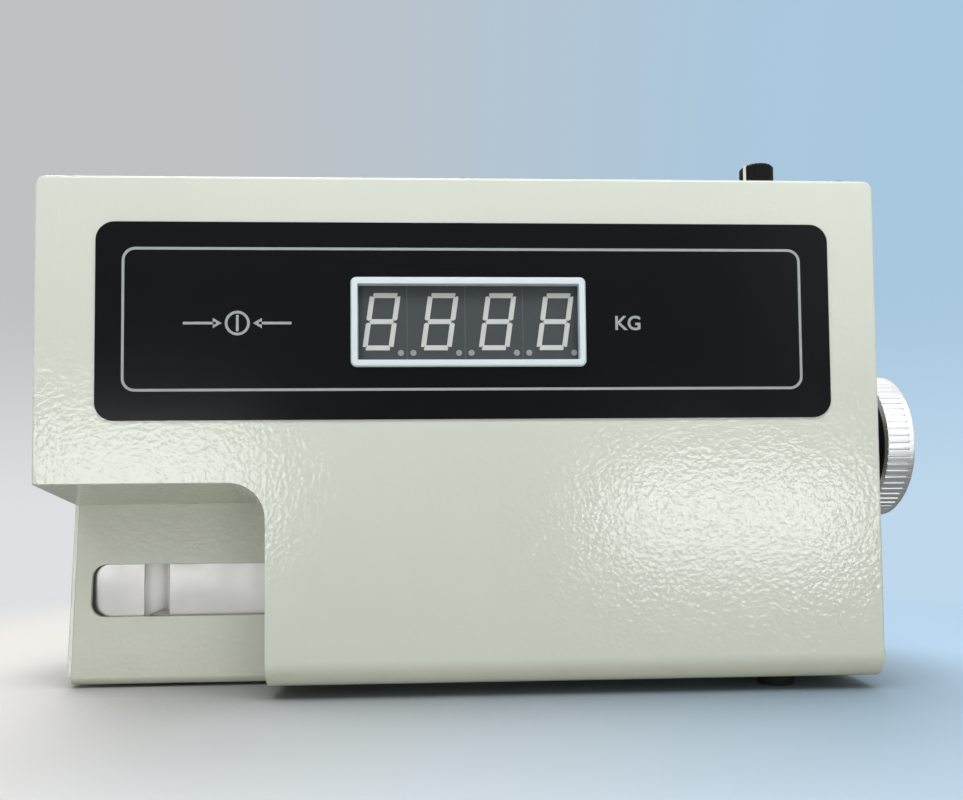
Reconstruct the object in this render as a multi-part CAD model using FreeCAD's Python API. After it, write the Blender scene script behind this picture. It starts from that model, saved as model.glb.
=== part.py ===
"""Tablet hardness tester: a bench instrument that crushes a tablet between two jaws and reads the force.

Frame: +X to the right, +Y to the back, +Z up, with the origin on the bench under the middle of the whole
instrument, handwheel and all.
All sizes are in millimetres.
"""
import FreeCAD, Part
import math
import os

V = FreeCAD.Vector

# ---- case -------------------------------------------------------------------------------------
CASE_WIDTH = 290.0
CASE_DEPTH = 100.0
CASE_HEIGHT = 174.75
SHEET = 1.5                 # steel sheet of the shell, the cover and the bay
BOTTOM_BEND = 9.5           # outer radius of the shell's two lower bends
FLANGE_BEND = 2.0           # outer radius of the shell's two top flanges
COVER_BEND = 3.0            # outer radius of the cover's two bends
FLANGE_WIDTH = 13.0
TAB_WIDTH = 12.0
TAB_HEIGHT = 18.0
TAB_SETBACK = 14.0          # middle of a side tab from the front or the back of the case

FOOT_HEIGHT = 4.0
FOOT_RADIUS = 7.0
FOOT_SIDE_INSET = 32.3      # middle of a foot from the side of the case
FOOT_FACE_INSET = 18.0      # middle of a foot from the front or the back
BAY_FOOT_INSET = 46.0       # middle of the foot behind the bay from the front

# ---- sample bay -------------------------------------------------------------------------------
BAY_WIDTH = 77.4
BAY_HEIGHT = 70.0
BAY_CORNER = 12.5
FOLD_SETBACK = 35.7         # fold between hood and wall, behind the front face
FOLD_DROP = 7.2             # the hood slopes down by this much on its way to the fold
WALL_FOOT_SETBACK = 29.1    # foot of the leaning wall, behind the front face
WALL_CLEARANCE = 1.0        # height of the wall's lip above the bench
LIP_DEPTH = 6.0
LIP_BEND = 2.6
WINDOW_HEIGHT = 19.1
WINDOW_BELOW_AXIS = 0.5     # middle of the window under the press axis
WINDOW_MARGIN = 7.4         # from the left side of the case to the window
WINDOW_END_MARGIN = 2.0     # from the window to the bay's right side
WINDOW_RADIUS = 5.0

# ---- press ------------------------------------------------------------------------------------
PRESS_SETBACK = 50.0        # press axis behind the front face
PRESS_HEIGHT = 31.5         # press axis above the case's bottom
JAW_SIZE = 24.0
JAW_EDGE = 0.5
TOLERANCE = 0.001
ANVIL_REACH = 25.7          # crushing face from the left side of the case
REST_GAP = 8.3
CLOSING_TRAVEL = 8.0
OPENING_TRAVEL = 16.0
RAM_LENGTH = 95.0
REST_WIDTH = 16.0
REST_THICKNESS = 2.0
REST_BELOW_AXIS = 10.6      # top of the tablet rest under the press axis
REST_OVERLAP = 31.0         # the rest reaches this far past the crushing face
REST_SEAT = 15.7            # length of the rest inside the anvil
REST_END_GAP = 4.0          # left over between the rest and the end of its slot

FRAME_WIDTH = 35.0
FRAME_THICKNESS = 8.0
POST_THICKNESS = 4.2
POST_ABOVE_AXIS = 15.0
GUIDE_START = 87.0          # guide from the left side of the case
GUIDE_LENGTH = 36.0
GUIDE_WIDTH = 44.0
GUIDE_ABOVE_AXIS = 19.0
LINER_WALL = 2.0
GUIDE_CLEARANCE = 0.08

CELL_WIDTH = 24.0
CELL_LENGTH = 12.0
CELL_STEM = 2.5             # at either end of the load cell
CELL_STEM_WIDTH = 12.0
CELL_SLOT = 1.6
CELL_SLOT_REACH = 17.0
SLEEVE_WIDTH = 28.0
SLEEVE_WALL = 4.0
NUT_LENGTH = 16.0
NUT_CLEARANCE = 0.05
SCREW_RADIUS = 6.0
SCREW_END_GAP = 3.0         # thread left over at either end of the travel
JOURNAL_RADIUS = 5.0
RUNNING_CLEARANCE = 0.06

PLATE_SETBACK = 45.0        # left face of the bearing plate from the right side of the case
PLATE_THICKNESS = 10.0
PLATE_WIDTH = 52.0
PLATE_ABOVE_SHAFT = 18.0
PLATE_CORNER = 12.0

# ---- gears and handwheel ----------------------------------------------------------------------
GEAR_MODULE = 2.0
DRIVE_TEETH = 26
SCREW_TEETH = 26
PRESSURE_ANGLE = math.radians(20.0)
FLANK_STEPS = 2             # straight pieces that make a flank
GEAR_DEDENDUM = 1.25        # depth of a tooth under the pitch circle, in modules
TOOTH_SLACK = 0.12          # taken off each flank
GEAR_WIDTH = 8.0
GEAR_SIDE_GAP = 0.6
COLLAR_RADIUS = 9.0
COLLAR_LENGTH = 6.0
SHAFT_TAIL = 2.0

BUSH_RADIUS = 8.0
BUSH_LENGTH = 6.0           # inside the case
BUSH_FLANGE_RADIUS = 11.0
BUSH_FLANGE = 2.5
WHEEL_RADIUS = 27.8
WHEEL_WIDTH = 10.65
WHEEL_STANDOFF = 14.9       # from the side of the case to the wheel
WHEEL_WALL = 3.0
WHEEL_CHAMFER = 1.0
FLUTE_COUNT = 66
FLUTE_DEPTH = 0.7
FLUTE_SHARE = 0.34          # share of the pitch that the flute takes
HUB_RADIUS = 12.0
HUB_REACH = 10.0            # the hub stands this far out of the wheel
CORE_INSET = 0.5

# ---- front label and display ------------------------------------------------------------------
LABEL_WIDTH = 252.0
LABEL_HEIGHT = 67.8
LABEL_THICKNESS = 0.6
LABEL_RADIUS = 6.3
LABEL_BELOW_TOP = 15.95
LABEL_SHIFT = 1.75
BEZEL_WIDTH = 80.5
BEZEL_HEIGHT = 30.85
BEZEL_PROUD = 1.5
BEZEL_RADIUS = 2.0
BEZEL_SIDE = 2.35
BEZEL_BAR = 2.4
BEZEL_SKIRT = 1.2
BEZEL_SHIFT = 1.75
BEZEL_DROP = 0.65           # middle of the bezel under the middle of the digits
DISPLAY_BELOW_TOP = 49.85   # middle of the display under the case's top
DIGIT_PITCH = 20.0
DIGIT_COUNT = 4
DIGIT_SIDE_GAP = 0.1
DIGIT_HEIGHT = 27.7
DIGIT_DEPTH = 8.0
DIGIT_GAP = 0.3
DISPLAY_SHIFT = 0.5
BOARD_THICKNESS = 1.6
DISPLAY_BOARD_MARGIN = 6.0
STANDOFF_AF = 5.0
STANDOFF_INSET = 4.0

# ---- zero-adjust knob -------------------------------------------------------------------------
KNOB_SIDE_INSET = 32.4      # knob axis from the right side of the case
KNOB_SETBACK = 25.0         # knob axis behind the front face
KNOB_RADIUS = 6.25
KNOB_HEIGHT = 11.3
KNOB_CHAMFER = 0.9
KNOB_FLUTES = 18
KNOB_FLUTE_DEPTH = 0.5
KNOB_FLUTE_SHARE = 0.45     # share of the pitch that the flute takes
KNOB_ROOF = 2.5
KNOB_GAP = 0.45
POT_WIDTH = 16.0
POT_HEIGHT = 10.0
POT_BUSH_RADIUS = 4.5
POT_BUSH_HEIGHT = 2.3
POT_SHAFT_RADIUS = 3.0
POT_NUT_AF = 11.0
POT_NUT_HEIGHT = 2.0

# ---- electronics ------------------------------------------------------------------------------
MAIN_BOARD_WIDTH = 100.0
MAIN_BOARD_HEIGHT = 75.0
MAIN_BOARD_SHIFT = -20.0
MAIN_BOARD_BELOW_TOP = 18.75
MAIN_BOARD_OFF_REAR = 9.0
CORE_WIDTH = 38.0
CORE_DEPTH = 10.0
CORE_HEIGHT = 32.0
CORE_LEG = 6.0
COIL_DEPTH = 17.0
TRANSFORMER_SHIFT = 14.0
TRANSFORMER_OFF_BEND = 1.0   # strap in front of the shell's rear bend
TRANSFORMER_STRAP = 8.0     # length of the strap on either side of the core
TRANSFORMER_STRAP_THICKNESS = 1.5
CHIP_WIDTH = 18.0
CHIP_HEIGHT = 8.0
CHIP_DEPTH = 4.0
CHIP_SHIFTS = (-28.0, 4.0)
CHIP_LIFT = 18.0
RELAY_SIZE = 14.0
RELAY_DEPTH = 10.0
RELAY_SHIFT = 32.0
HEADER_WIDTH = 30.0
HEADER_HEIGHT = 6.0
HEADER_DEPTH = 8.0
HEADER_SHIFT = -26.0
HEADER_DROP = 18.0

# ---- rear panel -------------------------------------------------------------------------------
INLET_SHIFT = 72.0          # middle of the inlet to the right of the case's middle
INLET_HEIGHT = 28.0         # middle of the inlet above the case's bottom
INLET_FLANGE_WIDTH = 50.0
INLET_FLANGE_HEIGHT = 24.0
INLET_FLANGE = 2.5
INLET_BODY_WIDTH = 28.0
INLET_BODY_HEIGHT = 20.0
INLET_BODY_DEPTH = 18.0
INLET_SOCKET_WIDTH = 24.6
INLET_SOCKET_HEIGHT = 16.6
INLET_SOCKET_DEPTH = 16.5
INLET_CORNER = 4.0
INLET_BEVEL = 5.0           # across the two upper corners of the socket
INLET_SCREW_PITCH = 40.0
PIN_THICKNESS = 2.0
PIN_WIDTH = 4.0
PIN_LENGTH = 11.0
PIN_PITCH = 7.0
PIN_LIFT = 2.0
SWITCH_SHIFT = 84.0
SWITCH_HEIGHT = 62.0
SWITCH_WIDTH = 15.0
SWITCH_LENGTH = 21.0
SWITCH_FLANGE = 2.0
SWITCH_BODY_WALL = 1.0      # the body is this much smaller than the flange, all round
SWITCH_BODY_DEPTH = 15.0
ROCKER_WIDTH = 10.0
ROCKER_LENGTH = 16.0
ROCKER_PROUD = 3.2
ROCKER_WAIST = 1.8
ROCKER_DEPTH = 3.0
ROCKER_TILT = 10.0
ROCKER_SIDE_GAP = 0.3
ROCKER_SWING_GAP = 0.4
FUSE_SHIFT = 50.0
FUSE_HEIGHT = 62.0
FUSE_FLANGE_RADIUS = 8.0
FUSE_FLANGE = 3.0
FUSE_RADIUS = 6.0
FUSE_DEPTH = 24.0
FUSE_CAP_RADIUS = 5.5
FUSE_CAP_PROUD = 4.0
VENT_SHIFT = -95.0
VENT_BELOW_TOP = 30.0
VENT_COUNT = 7
VENT_PITCH = 6.0
VENT_WIDTH = 2.4
VENT_LENGTH = 26.0

# ---- fasteners --------------------------------------------------------------------------------
SMALL_HEAD = 2.9            # radius of a head
SMALL_HEAD_HEIGHT = 2.0
HOLE_CLEARANCE = 0.1
COVER_SCREW_INSET = 7.5     # from the sides of the case
COVER_SCREW_SETBACK = 6.0   # from the front and the back

# ---- places worked out from the sizes ---------------------------------------------------------
OVERHANG_LEFT = SMALL_HEAD_HEIGHT
OVERHANG_RIGHT = WHEEL_STANDOFF + WHEEL_WIDTH
OVERHANG_FRONT = LABEL_THICKNESS + BEZEL_PROUD
OVERHANG_REAR = FUSE_FLANGE + FUSE_CAP_PROUD
MIDDLE_X = (OVERHANG_LEFT - OVERHANG_RIGHT) / 2
MIDDLE_Y = (OVERHANG_FRONT - OVERHANG_REAR) / 2
LEFT = MIDDLE_X - CASE_WIDTH / 2
RIGHT = MIDDLE_X + CASE_WIDTH / 2
FRONT = MIDDLE_Y - CASE_DEPTH / 2
REAR = MIDDLE_Y + CASE_DEPTH / 2
BOTTOM = FOOT_HEIGHT
TOP = BOTTOM + CASE_HEIGHT
FLOOR = BOTTOM + SHEET
CEILING = TOP - SHEET

BAY_RIGHT = LEFT + BAY_WIDTH
BAY_TOP = BOTTOM + BAY_HEIGHT
FOLD_Y = FRONT + FOLD_SETBACK
FOLD_Z = BAY_TOP - FOLD_DROP
WALL_FOOT_Y = FRONT + WALL_FOOT_SETBACK
WALL_SLOPE = (FOLD_Y - WALL_FOOT_Y) / (FOLD_Z - WALL_CLEARANCE)

PRESS_Y = FRONT + PRESS_SETBACK
PRESS_Z = BOTTOM + PRESS_HEIGHT
WINDOW_Z = PRESS_Z - WINDOW_BELOW_AXIS
SHAFT_Z = PRESS_Z + GEAR_MODULE * (DRIVE_TEETH + SCREW_TEETH) / 2
FRAME_TOP = FLOOR + FRAME_THICKNESS
END_GAP = 0.3
POST_X = LEFT + SHEET + END_GAP
ANVIL_X = POST_X + POST_THICKNESS
ANVIL_FACE = LEFT + ANVIL_REACH
RAM_FACE = ANVIL_FACE + REST_GAP
CELL_X = RAM_FACE + RAM_LENGTH
SLEEVE_X = CELL_X + CELL_LENGTH
SLEEVE_CAVITY_X = SLEEVE_X + SLEEVE_WALL
SCREW_X = SLEEVE_CAVITY_X + OPENING_TRAVEL + SCREW_END_GAP
SLEEVE_END = SCREW_X + CLOSING_TRAVEL + NUT_LENGTH - SCREW_END_GAP
PLATE_X = RIGHT - PLATE_SETBACK
PLATE_END = PLATE_X + PLATE_THICKNESS
GEAR_X = PLATE_END + GEAR_SIDE_GAP
GEAR_END = GEAR_X + GEAR_WIDTH
WHEEL_X = RIGHT + WHEEL_STANDOFF
WHEEL_END = WHEEL_X + WHEEL_WIDTH
REST_TOP = PRESS_Z - REST_BELOW_AXIS

LABEL_FACE = FRONT - LABEL_THICKNESS
LABEL_X = MIDDLE_X + LABEL_SHIFT
BEZEL_X = MIDDLE_X + BEZEL_SHIFT
DISPLAY_X = MIDDLE_X + DISPLAY_SHIFT
LABEL_Z = TOP - LABEL_BELOW_TOP - LABEL_HEIGHT / 2
DISPLAY_Z = TOP - DISPLAY_BELOW_TOP
BEZEL_Z = DISPLAY_Z - BEZEL_DROP
OPENING_WIDTH = BEZEL_WIDTH - 2 * BEZEL_SIDE + 2 * BEZEL_SKIRT
OPENING_HEIGHT = BEZEL_HEIGHT - 2 * BEZEL_BAR + 2 * BEZEL_SKIRT
DIGIT_FACE = FRONT + SHEET + DIGIT_GAP
DIGIT_BACK = DIGIT_FACE + DIGIT_DEPTH
DISPLAY_BOARD_WIDTH = DIGIT_COUNT * DIGIT_PITCH + 2 * DISPLAY_BOARD_MARGIN
DISPLAY_BOARD_HEIGHT = DIGIT_HEIGHT + 2 * DISPLAY_BOARD_MARGIN

KNOB_X = RIGHT - KNOB_SIDE_INSET
KNOB_Y = FRONT + KNOB_SETBACK
MAIN_BOARD_X = MIDDLE_X + MAIN_BOARD_SHIFT
MAIN_BOARD_Z = TOP - MAIN_BOARD_BELOW_TOP - MAIN_BOARD_HEIGHT / 2
MAIN_BOARD_Y = REAR - SHEET - MAIN_BOARD_OFF_REAR
TRANSFORMER_X = MIDDLE_X + TRANSFORMER_SHIFT
TRANSFORMER_Y = REAR - BOTTOM_BEND - TRANSFORMER_OFF_BEND - CORE_DEPTH / 2
INLET_X = MIDDLE_X + INLET_SHIFT
INLET_Z = BOTTOM + INLET_HEIGHT
SWITCH_X = MIDDLE_X + SWITCH_SHIFT
SWITCH_Z = BOTTOM + SWITCH_HEIGHT
FUSE_X = MIDDLE_X + FUSE_SHIFT
FUSE_Z = BOTTOM + FUSE_HEIGHT

FOOT_PLACES = [
    (LEFT + FOOT_SIDE_INSET, FRONT + BAY_FOOT_INSET),
    (LEFT + FOOT_SIDE_INSET, REAR - FOOT_FACE_INSET),
    (RIGHT - FOOT_SIDE_INSET, FRONT + FOOT_FACE_INSET),
    (RIGHT - FOOT_SIDE_INSET, REAR - FOOT_FACE_INSET),
]
COVER_SCREW_PLACES = [
    (x, y)
    for y in (FRONT + COVER_SCREW_SETBACK, REAR - COVER_SCREW_SETBACK)
    for x in (LEFT + COVER_SCREW_INSET, MIDDLE_X, RIGHT - COVER_SCREW_INSET)
]
TAB_PLACES = [(1, FRONT + TAB_SETBACK), (1, REAR - TAB_SETBACK), (-1, REAR - TAB_SETBACK)]


# ---- shared forms -----------------------------------------------------------------------------
def box(x0, x1, y0, y1, z0, z1):
    """A block between two corners."""
    return Part.makeBox(x1 - x0, y1 - y0, z1 - z0, V(x0, y0, z0))


def rod(radius, start, end, centre, axis):
    """A cylinder along "x", "y" or "z", from start to end; centre gives the other two coordinates."""
    a, b = centre
    base = {"x": V(start, a, b), "y": V(a, start, b), "z": V(a, b, start)}[axis]
    direction = {"x": V(1, 0, 0), "y": V(0, 1, 0), "z": V(0, 0, 1)}[axis]
    return Part.makeCylinder(radius, end - start, base, direction)


def ring(outer, inner, start, end, centre, axis):
    """A tube along an axis."""
    return rod(outer, start, end, centre, axis).cut(rod(inner, start, end, centre, axis))


def solid_from(points, sweep):
    """A prism: the closed polygon through points, moved along sweep."""
    wire = Part.makePolygon(points + [points[0]])
    return Part.Face(wire).extrude(sweep)


def hexagon(across_flats, height, base, axis):
    """A hexagonal prism that stands on base and points along axis."""
    corner = across_flats / math.sqrt(3)
    turn = FreeCAD.Rotation(V(0, 0, 1), axis)
    points = []
    for step in range(6):
        angle = math.radians(60 * step)
        points.append(base + turn.multVec(V(corner * math.cos(angle), corner * math.sin(angle), 0)))
    return solid_from(points, axis * height)


def rounded_plate(x0, x1, y0, y1, z0, z1, radius):
    """A plate in the XZ plane, from y0 to y1, with its four corners rounded."""
    plate = box(x0, x1, y0, y1, z0, z1)
    edges = [e for e in plate.Edges if abs(e.Vertexes[0].Y - e.Vertexes[1].Y) > (y1 - y0) / 2]
    return plate.makeFillet(radius, edges)


def centred_plate(width, height, y0, y1, x, z, radius):
    """A rounded plate in the XZ plane about the point x, z."""
    return rounded_plate(x - width / 2, x + width / 2, y0, y1, z - height / 2, z + height / 2, radius)


def rounded_path(points, radii):
    """Edges of an open path through points, with each inner corner rounded to its radius."""
    edges = []
    last = points[0]
    for corner, after, before, radius in zip(points[1:], points[2:], points, radii):
        back = (before - corner).normalize()
        ahead = (after - corner).normalize()
        half = back.getAngle(ahead) / 2
        reach = radius / math.tan(half)
        start = corner + back * reach
        end = corner + ahead * reach
        bisector = (back + ahead).normalize()
        middle = corner + bisector * (radius / math.sin(half) - radius)
        edges.append(Part.LineSegment(last, start).toShape())
        edges.append(Part.Arc(start, middle, end).toShape())
        last = end
    edges.append(Part.LineSegment(last, points[-1]).toShape())
    return edges


def offset_points(points, distance, normal):
    """The corners of the path that runs beside points, on its left seen against normal."""
    sides = [normal.cross(b - a).normalize() for a, b in zip(points, points[1:])]
    moved = [points[0] + sides[0] * distance]
    for corner, first, second in zip(points[1:], sides, sides[1:]):
        middle = (first + second).normalize()
        moved.append(corner + middle * (distance / middle.dot(first)))
    moved.append(points[-1] + sides[-1] * distance)
    return moved


def bent_sheet(points, radii, thickness, normal, sweep):
    """Sheet metal folded along points, with the sheet on the left of the path seen against normal.

    The radii are those of the path's own face; the other face gets concentric bends.
    """
    beside = offset_points(points, thickness, normal)
    other_radii = []
    for before, corner, after, radius in zip(points, points[1:], points[2:], radii):
        turns_left = normal.dot((corner - before).cross(after - corner)) > 0
        other_radii.append(radius - thickness if turns_left else radius + thickness)
    edges = rounded_path(points, radii)
    edges += rounded_path(beside, other_radii)
    edges.append(Part.LineSegment(points[0], beside[0]).toShape())
    edges.append(Part.LineSegment(points[-1], beside[-1]).toShape())
    wire = Part.Wire(Part.__sortEdges__(edges))
    return Part.Face(wire).extrude(sweep)


def screw_heads(places, radius, height, direction):
    """Flat screw heads that stand on their places and point along direction."""
    return [Part.makeCylinder(radius, height, place, direction) for place in places]


def fluted_outline(radius, depth, count, share):
    """Polar corners, as radius and angle, of a disc with V flutes all round."""
    pitch = 2 * math.pi / count
    corners = []
    for flute in range(count):
        middle = flute * pitch
        corners.append((radius, middle - pitch * share / 2))
        corners.append((radius - depth, middle))
        corners.append((radius, middle + pitch * share / 2))
    return corners


def fluted_body(corners, stations, place):
    """A fluted body with a bevelled end; each station is how far along, and the outline's scale there.

    place(along, radius, angle) gives the point of a corner.
    """
    faces = []
    outlines = []
    for along, scale in stations:
        outlines.append([place(along, radius * scale, angle) for radius, angle in corners])
    for first, second in zip(outlines, outlines[1:]):
        for index in range(len(corners)):
            after = (index + 1) % len(corners)
            quad = [first[index], first[after], second[after], second[index]]
            faces.append(Part.Face(Part.makePolygon(quad + [quad[0]])))
    for outline in (outlines[0], outlines[-1]):
        faces.append(Part.Face(Part.makePolygon(outline + [outline[0]])))
    return Part.Solid(Part.makeShell(faces))


# ---- case -------------------------------------------------------------------------------------
def shell_path():
    """Corners of the shell's outer face, from the front flange round under the case to the rear one."""
    return [
        V(0, FRONT + FLANGE_WIDTH, CEILING),
        V(0, FRONT, CEILING),
        V(0, FRONT, BOTTOM),
        V(0, REAR, BOTTOM),
        V(0, REAR, CEILING),
        V(0, REAR - FLANGE_WIDTH, CEILING),
    ]


def side_outline(x, sweep):
    """The case's side view as a prism from x: the outline that the cover's ends share with the shell."""
    points = [V(x, p.y, p.z) for p in shell_path()]
    edges = rounded_path(points, [FLANGE_BEND, BOTTOM_BEND, BOTTOM_BEND, FLANGE_BEND])
    edges.append(Part.LineSegment(points[-1], points[0]).toShape())
    return Part.Face(Part.Wire(Part.__sortEdges__(edges))).extrude(V(sweep, 0, 0))


def bay_cutter():
    """The bay's opening in the front: everything left of and below its rounded corner."""
    out = 5.0
    points = [
        V(LEFT - out, FRONT - out, BAY_TOP),
        V(BAY_RIGHT, FRONT - out, BAY_TOP),
        V(BAY_RIGHT, FRONT - out, -out),
    ]
    edges = rounded_path(points, [BAY_CORNER])
    edges.append(Part.makePolygon([points[-1], V(LEFT - out, FRONT - out, -out), points[0]]))
    flat = []
    for shape in edges:
        flat += shape.Edges
    depth = wall_face(FLOOR, SHEET) + HOLE_CLEARANCE - FRONT + out
    return Part.Face(Part.Wire(Part.__sortEdges__(flat))).extrude(V(0, depth, 0))


def wall_face(z, behind=0.0):
    """Depth Y of the bay wall's front face at height z, or of a plane that lies behind it."""
    return WALL_FOOT_Y + WALL_SLOPE * (z - WALL_CLEARANCE) + behind * math.sqrt(1 + WALL_SLOPE ** 2)


def main_shell():
    """Front, bottom and back in one folded sheet, with the bay and the panel openings cut out."""
    width = CASE_WIDTH - 2 * SHEET
    points = [p + V(LEFT + SHEET, 0, 0) for p in shell_path()]
    bends = [FLANGE_BEND, BOTTOM_BEND, BOTTOM_BEND, FLANGE_BEND]
    shell = bent_sheet(points, bends, SHEET, V(1, 0, 0), V(width, 0, 0))
    for side, y in TAB_PLACES:
        outer = side * SHEET
        edge = RIGHT - SHEET if side > 0 else LEFT + SHEET
        x0, x1 = sorted((edge, edge - outer))
        shell = shell.fuse(box(x0, x1, y - TAB_WIDTH / 2, y + TAB_WIDTH / 2, BOTTOM, BOTTOM + TAB_HEIGHT))
    shell = shell.common(cover_outline(SHEET)).cut(bay_cutter())
    y0 = REAR - 2 * SHEET
    y1 = REAR + SHEET
    cuts = [
        display_opening(FRONT - SHEET, FRONT + 2 * SHEET),
        inlet_block(INLET_BODY_WIDTH, INLET_BODY_HEIGHT, HOLE_CLEARANCE, y0, y1),
        switch_body(HOLE_CLEARANCE, y0, y1),
        rod(FUSE_RADIUS + HOLE_CLEARANCE, y0, y1, (FUSE_X, FUSE_Z), "y"),
    ]
    for index in range(VENT_COUNT):
        x = MIDDLE_X + VENT_SHIFT + VENT_PITCH * (index - (VENT_COUNT - 1) / 2)
        top = TOP - VENT_BELOW_TOP
        cuts.append(box(x - VENT_WIDTH / 2, x + VENT_WIDTH / 2, y0, y1, top - VENT_LENGTH, top))
    return shell.cut(Part.makeCompound(cuts))


def side_screw_z():
    """Height of the side screws."""
    return BOTTOM + TAB_HEIGHT - TAB_WIDTH / 2


def side_cut(x, sweep):
    """The bay seen from the side, as a prism: it clears the left end in front of the hood and the wall."""
    out = 5.0
    points = [
        V(x, FRONT - out, BAY_TOP),
        V(x, FRONT, BAY_TOP),
        V(x, FOLD_Y, FOLD_Z),
        V(x, wall_face(-out), -out),
        V(x, FRONT - out, -out),
    ]
    return solid_from(points, V(sweep, 0, 0))


def cover_outline(inset):
    """The case's front view as a prism, drawn in by inset."""
    points = [
        V(LEFT + inset, FRONT, BOTTOM),
        V(LEFT + inset, FRONT, TOP - inset),
        V(RIGHT - inset, FRONT, TOP - inset),
        V(RIGHT - inset, FRONT, BOTTOM),
    ]
    edges = rounded_path(points, [COVER_BEND - inset, COVER_BEND - inset])
    edges.append(Part.LineSegment(points[-1], points[0]).toShape())
    return Part.Face(Part.Wire(Part.__sortEdges__(edges))).extrude(V(0, CASE_DEPTH, 0))


def top_cover():
    """Top and both ends in one folded sheet; its edge shows as a thin line round the front."""
    cover = cover_outline(0.0).cut(cover_outline(SHEET))
    ends = side_outline(LEFT, CASE_WIDTH)
    cover = cover.common(ends.fuse(box(LEFT, RIGHT, FRONT, REAR, TOP - 2 * COVER_BEND, TOP)))
    cover = cover.cut(side_cut(LEFT - SHEET, 3 * SHEET))
    cuts = [
        rod(BUSH_RADIUS, RIGHT - 2 * SHEET, RIGHT + SHEET, (PRESS_Y, SHAFT_Z), "x"),
        rod(POT_BUSH_RADIUS + HOLE_CLEARANCE, CEILING - SHEET, TOP + SHEET, (KNOB_X, KNOB_Y), "z"),
    ]
    return cover.cut(Part.makeCompound(cuts))


def shell_cavity():
    """The space inside the shell's front, bottom and back."""
    points = [V(LEFT, p.y, p.z) for p in offset_points(shell_path()[1:5], SHEET, V(1, 0, 0))]
    radii = [BOTTOM_BEND - SHEET, BOTTOM_BEND - SHEET]
    edges = rounded_path(points, radii)
    edges.append(Part.LineSegment(points[-1], points[0]).toShape())
    return Part.Face(Part.Wire(Part.__sortEdges__(edges))).extrude(V(CASE_WIDTH, 0, 0))


def bay_hood():
    """The bay's sloping roof, which turns down at a rounded corner into its right side.

    It is folded square to its slope, so that its bend is a true cylinder.
    """
    slope = math.atan2(FOLD_DROP, FOLD_SETBACK)
    along = V(0, math.cos(slope), -math.sin(slope))
    across = V(0, math.sin(slope), math.cos(slope))
    edge = V(0, FRONT, BAY_TOP)
    drop = across * (BAY_TOP + FOLD_DROP)
    points = [
        edge + V(LEFT + SHEET, 0, 0),
        edge + V(BAY_RIGHT, 0, 0),
        edge + V(BAY_RIGHT, 0, 0) - drop,
    ]
    start = [p - along * BAY_HEIGHT for p in points]
    hood = bent_sheet(start, [BAY_CORNER], SHEET, along, along * (2 * BAY_HEIGHT + FOLD_SETBACK))
    behind_wall = solid_from(
        [
            V(LEFT, wall_face(-CASE_DEPTH), -CASE_DEPTH),
            V(LEFT, wall_face(TOP), TOP),
            V(LEFT, REAR + CASE_DEPTH, TOP),
            V(LEFT, REAR + CASE_DEPTH, -CASE_DEPTH),
        ],
        V(CASE_WIDTH, 0, 0),
    )
    return hood.common(shell_cavity()).cut(behind_wall)


def bay_wall():
    """The bay's leaning back wall, with the long window to the jaws and a lip rolled under its foot."""
    start = LEFT + SHEET
    head_z = FOLD_Z + 2 * SHEET
    points = [
        V(start, wall_face(WALL_CLEARANCE) + LIP_DEPTH, WALL_CLEARANCE),
        V(start, wall_face(WALL_CLEARANCE), WALL_CLEARANCE),
        V(start, wall_face(head_z), head_z),
    ]
    width = BAY_RIGHT + SHEET - start
    wall = bent_sheet(points, [LIP_BEND], SHEET, V(-1, 0, 0), V(width, 0, 0))
    wall = wall.cut(box(BAY_RIGHT, BAY_RIGHT + 2 * SHEET, FRONT, REAR, 0, FLOOR))
    window = rounded_plate(
        LEFT + WINDOW_MARGIN, BAY_RIGHT - WINDOW_END_MARGIN, FRONT, REAR,
        WINDOW_Z - WINDOW_HEIGHT / 2, WINDOW_Z + WINDOW_HEIGHT / 2, WINDOW_RADIUS,
    )
    return wall.cut(window)


def feet():
    """Four rubber feet."""
    return Part.makeCompound([rod(FOOT_RADIUS, 0, FOOT_HEIGHT, place, "z") for place in FOOT_PLACES])


def case_screws():
    """The heads of the small screws in the cover and its ends."""
    tops = [V(x, y, TOP) for x, y in COVER_SCREW_PLACES]
    heads = screw_heads(tops, SMALL_HEAD, SMALL_HEAD_HEIGHT, V(0, 0, 1))
    for side, y in TAB_PLACES:
        place = V(RIGHT if side > 0 else LEFT, y, side_screw_z())
        heads += screw_heads([place], SMALL_HEAD, SMALL_HEAD_HEIGHT, V(side, 0, 0))
    return Part.makeCompound(heads)


# ---- label and display ------------------------------------------------------------------------
def display_opening(y0, y1):
    """The hole that the bezel's skirt fills, through the shell and the label."""
    return bezel_block(OPENING_WIDTH, OPENING_HEIGHT, y0, y1)


def bezel_block(width, height, y0, y1):
    """A square-cornered block about the bezel's middle."""
    return box(
        BEZEL_X - width / 2, BEZEL_X + width / 2, y0, y1, BEZEL_Z - height / 2, BEZEL_Z + height / 2
    )


def front_label():
    """The black panel across the upper front."""
    plate = centred_plate(LABEL_WIDTH, LABEL_HEIGHT, LABEL_FACE, FRONT, LABEL_X, LABEL_Z, LABEL_RADIUS)
    return plate.cut(display_opening(LABEL_FACE - SHEET, FRONT + SHEET))


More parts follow.
